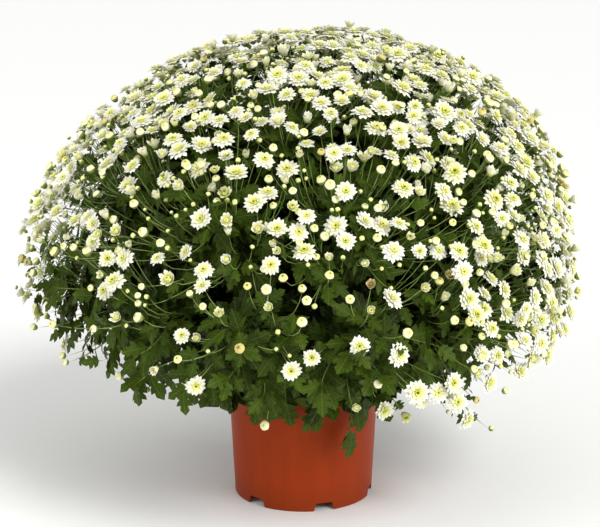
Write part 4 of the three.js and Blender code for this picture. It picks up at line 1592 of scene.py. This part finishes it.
def add_blooms(context, kind, name, shapes, materials, tiers=TIERS):
    """One piece of blooms of a kind for each tier."""
    parts = plan(context.scene.name)
    draw = np.random.default_rng(SEED + 10 + kind)
    fading, faint, tall = (0.02, 0.3, (1.0, 1.4)) if kind == OPEN else (0.06, 0.5, (0.85, 1.15))
    for tier, first, last in tiers:
        chosen = np.flatnonzero((parts["kind"] == kind) & in_tier(parts["stem"], first, last))
        skin = bloom_copies(parts, shapes, chosen, fading, faint, tall, draw)
        nodes = tier_nodes("spray", first, last)
        add_piece(f"{name}_{tier}", skin, materials, nodes, 60)


def bloom_skins(plant):
    """The petals' and the calyx's materials."""
    return [
        shared("ray_petals", make_petals, plant), shared("calyx_scales", make_calyx, plant)
    ]


class MUM_OT_open_blooms(bpy.types.Operator):
    """Open double blooms, one piece for each tier of the dome"""

    bl_idname = "mum.open_blooms"
    bl_label = "Open blooms"

    def execute(self, context):
        draw = np.random.default_rng(SEED + 4)
        shapes = [open_bloom(draw, cup) for cup in (0, 6, 12, 22)]
        materials = bloom_skins(context.scene.mum_plant)
        add_blooms(context, OPEN, "open_blooms", shapes, materials)
        return {"FINISHED"}


class MUM_OT_half_open_blooms(bpy.types.Operator):
    """Half-open blooms, in one piece"""

    bl_idname = "mum.half_open_blooms"
    bl_label = "Half-open blooms"

    def execute(self, context):
        draw = np.random.default_rng(SEED + 5)
        shapes = [half_open_bloom(draw, cup) for cup in (0, 12, 22)]
        materials = bloom_skins(context.scene.mum_plant)
        add_blooms(context, HALF_OPEN, "half_open_blooms", shapes, materials, WHOLE_DOME)
        return {"FINISHED"}


class MUM_OT_young_blooms(bpy.types.Operator):
    """Blooms that begin to open, in one piece"""

    bl_idname = "mum.young_blooms"
    bl_label = "Young blooms"

    def execute(self, context):
        materials = bloom_skins(context.scene.mum_plant)
        add_blooms(context, YOUNG, "young_blooms", [young_bloom()], materials, WHOLE_DOME)
        return {"FINISHED"}


class MUM_OT_buds(bpy.types.Operator):
    """Closed buds, in one piece"""

    bl_idname = "mum.buds"
    bl_label = "Buds"

    def execute(self, context):
        materials = [make_bud_skin(context.scene.mum_plant)]
        add_blooms(context, BUD, "buds", [closed_bud()], materials, WHOLE_DOME)
        return {"FINISHED"}


def facing(way):
    """Turns that point -Z along a way: the tilt from straight down, then the turn about +Z."""
    x, y, z = way / np.linalg.norm(way)
    return (math.acos(-z), 0, math.atan2(x, -y) + math.pi)


class MUM_OT_stage(bpy.types.Operator):
    """Pale floor, soft lamps, pale surround and the camera"""

    bl_idname = "mum.stage"
    bl_label = "Stage"

    def execute(self, context):
        scene = context.scene
        stage = scene.mum_stage
        corners = [
            (x * FLOOR_HALF, y * FLOOR_HALF, -FLOOR_DROP)
            for x, y in ((-1, -1), (1, -1), (1, 1), (-1, 1))
        ]
        mesh = bpy.data.meshes.new("studio_floor")
        mesh.from_pydata(corners, [], [(0, 1, 2, 3)])
        material, _ = new_material("pale_paper", Roughness=0.9, Base_Color=(*stage.floor, 1))
        mesh.materials.append(material)
        floor = bpy.data.objects.new("studio_floor", mesh)
        scene.collection.objects.link(floor)

        # The camera sees the surround as white, and the plant is lit by less of it
        world = bpy.data.worlds.new("pale_surround")
        world.use_nodes = True
        seen = add_node(world, "ShaderNodeLightPath").outputs["Is Camera Ray"]
        strength = add_node(
            world, "ShaderNodeMapRange", {"Value": seen, "To Min": stage.ambient, "To Max": 1}
        ).outputs["Result"]
        background = world.node_tree.nodes["Background"]
        plug(background, {"Color": (1, 1, 1, 1), "Strength": strength})
        scene.world = world

        lamps = (
            ("key_lamp", "SUN", (1.5, -2.1, 2.7), stage.key, math.radians(24)),
            ("fill_lamp", "AREA", (-2.2, -1.7, 1.9), stage.fill, 1.8),
            ("side_lamp", "AREA", (2.2, -1.5, 0.55), stage.side, 1.0),
        )
        for name, kind, place, power, width in lamps:
            light = bpy.data.lights.new(name, kind)
            light.energy = power
            setattr(light, "angle" if kind == "SUN" else "size", width)
            lamp = bpy.data.objects.new(name, light)
            lamp.location = place
            lamp.rotation_euler = facing(np.array(LAMP_AIM) - place)
            scene.collection.objects.link(lamp)

        camera = bpy.data.cameras.new("camera")
        camera.sensor_width = 36
        camera.lens = 36 * stage.focal_share
        view = bpy.data.objects.new("camera", camera)
        view.location = (stage.camera_aside, -stage.camera_distance, stage.camera_height)
        view.rotation_euler = (math.pi / 2 - stage.camera_pitch, 0, 0)
        scene.collection.objects.link(view)
        scene.camera = view
        scene.view_settings.view_transform = "Standard"
        return {"FINISHED"}


class MUM_PT_panel(bpy.types.Panel):
    """Sizes, colours and the buttons that make each piece"""

    bl_idname = "MUM_PT_panel"
    bl_label = "Pot chrysanthemum"
    bl_space_type = "VIEW_3D"
    bl_region_type = "UI"
    bl_category = "Chrysanthemum"

    def draw(self, context):
        for operator in OPERATORS:
            self.layout.operator(operator.bl_idname)
        for settings in (context.scene.mum_pot, context.scene.mum_plant, context.scene.mum_stage):
            box = self.layout.box()
            for name in settings.__annotations__:
                box.prop(settings, name)


OPERATORS = (
    MUM_OT_pot, MUM_OT_mix, MUM_OT_stems, MUM_OT_leaves, MUM_OT_stalks, MUM_OT_open_blooms,
    MUM_OT_half_open_blooms, MUM_OT_young_blooms, MUM_OT_buds, MUM_OT_stage,
)
CLASSES = (PotSettings, PlantSettings, StageSettings, *OPERATORS, MUM_PT_panel)


def register():
    for cls in CLASSES:
        bpy.utils.register_class(cls)
    bpy.types.Scene.mum_pot = PointerProperty(type=PotSettings)
    bpy.types.Scene.mum_plant = PointerProperty(type=PlantSettings)
    bpy.types.Scene.mum_stage = PointerProperty(type=StageSettings)


def unregister():
    del bpy.types.Scene.mum_stage, bpy.types.Scene.mum_plant, bpy.types.Scene.mum_pot
    for cls in reversed(CLASSES):
        bpy.utils.unregister_class(cls)


def main():
    register()
    bpy.ops.mum.pot()
    bpy.ops.mum.mix()
    bpy.ops.mum.stems()
    bpy.ops.mum.leaves()
    bpy.ops.mum.stalks()
    bpy.ops.mum.open_blooms()
    bpy.ops.mum.half_open_blooms()
    bpy.ops.mum.young_blooms()
    bpy.ops.mum.buds()
    bpy.ops.mum.stage()


if __name__ == "__main__":
    main()
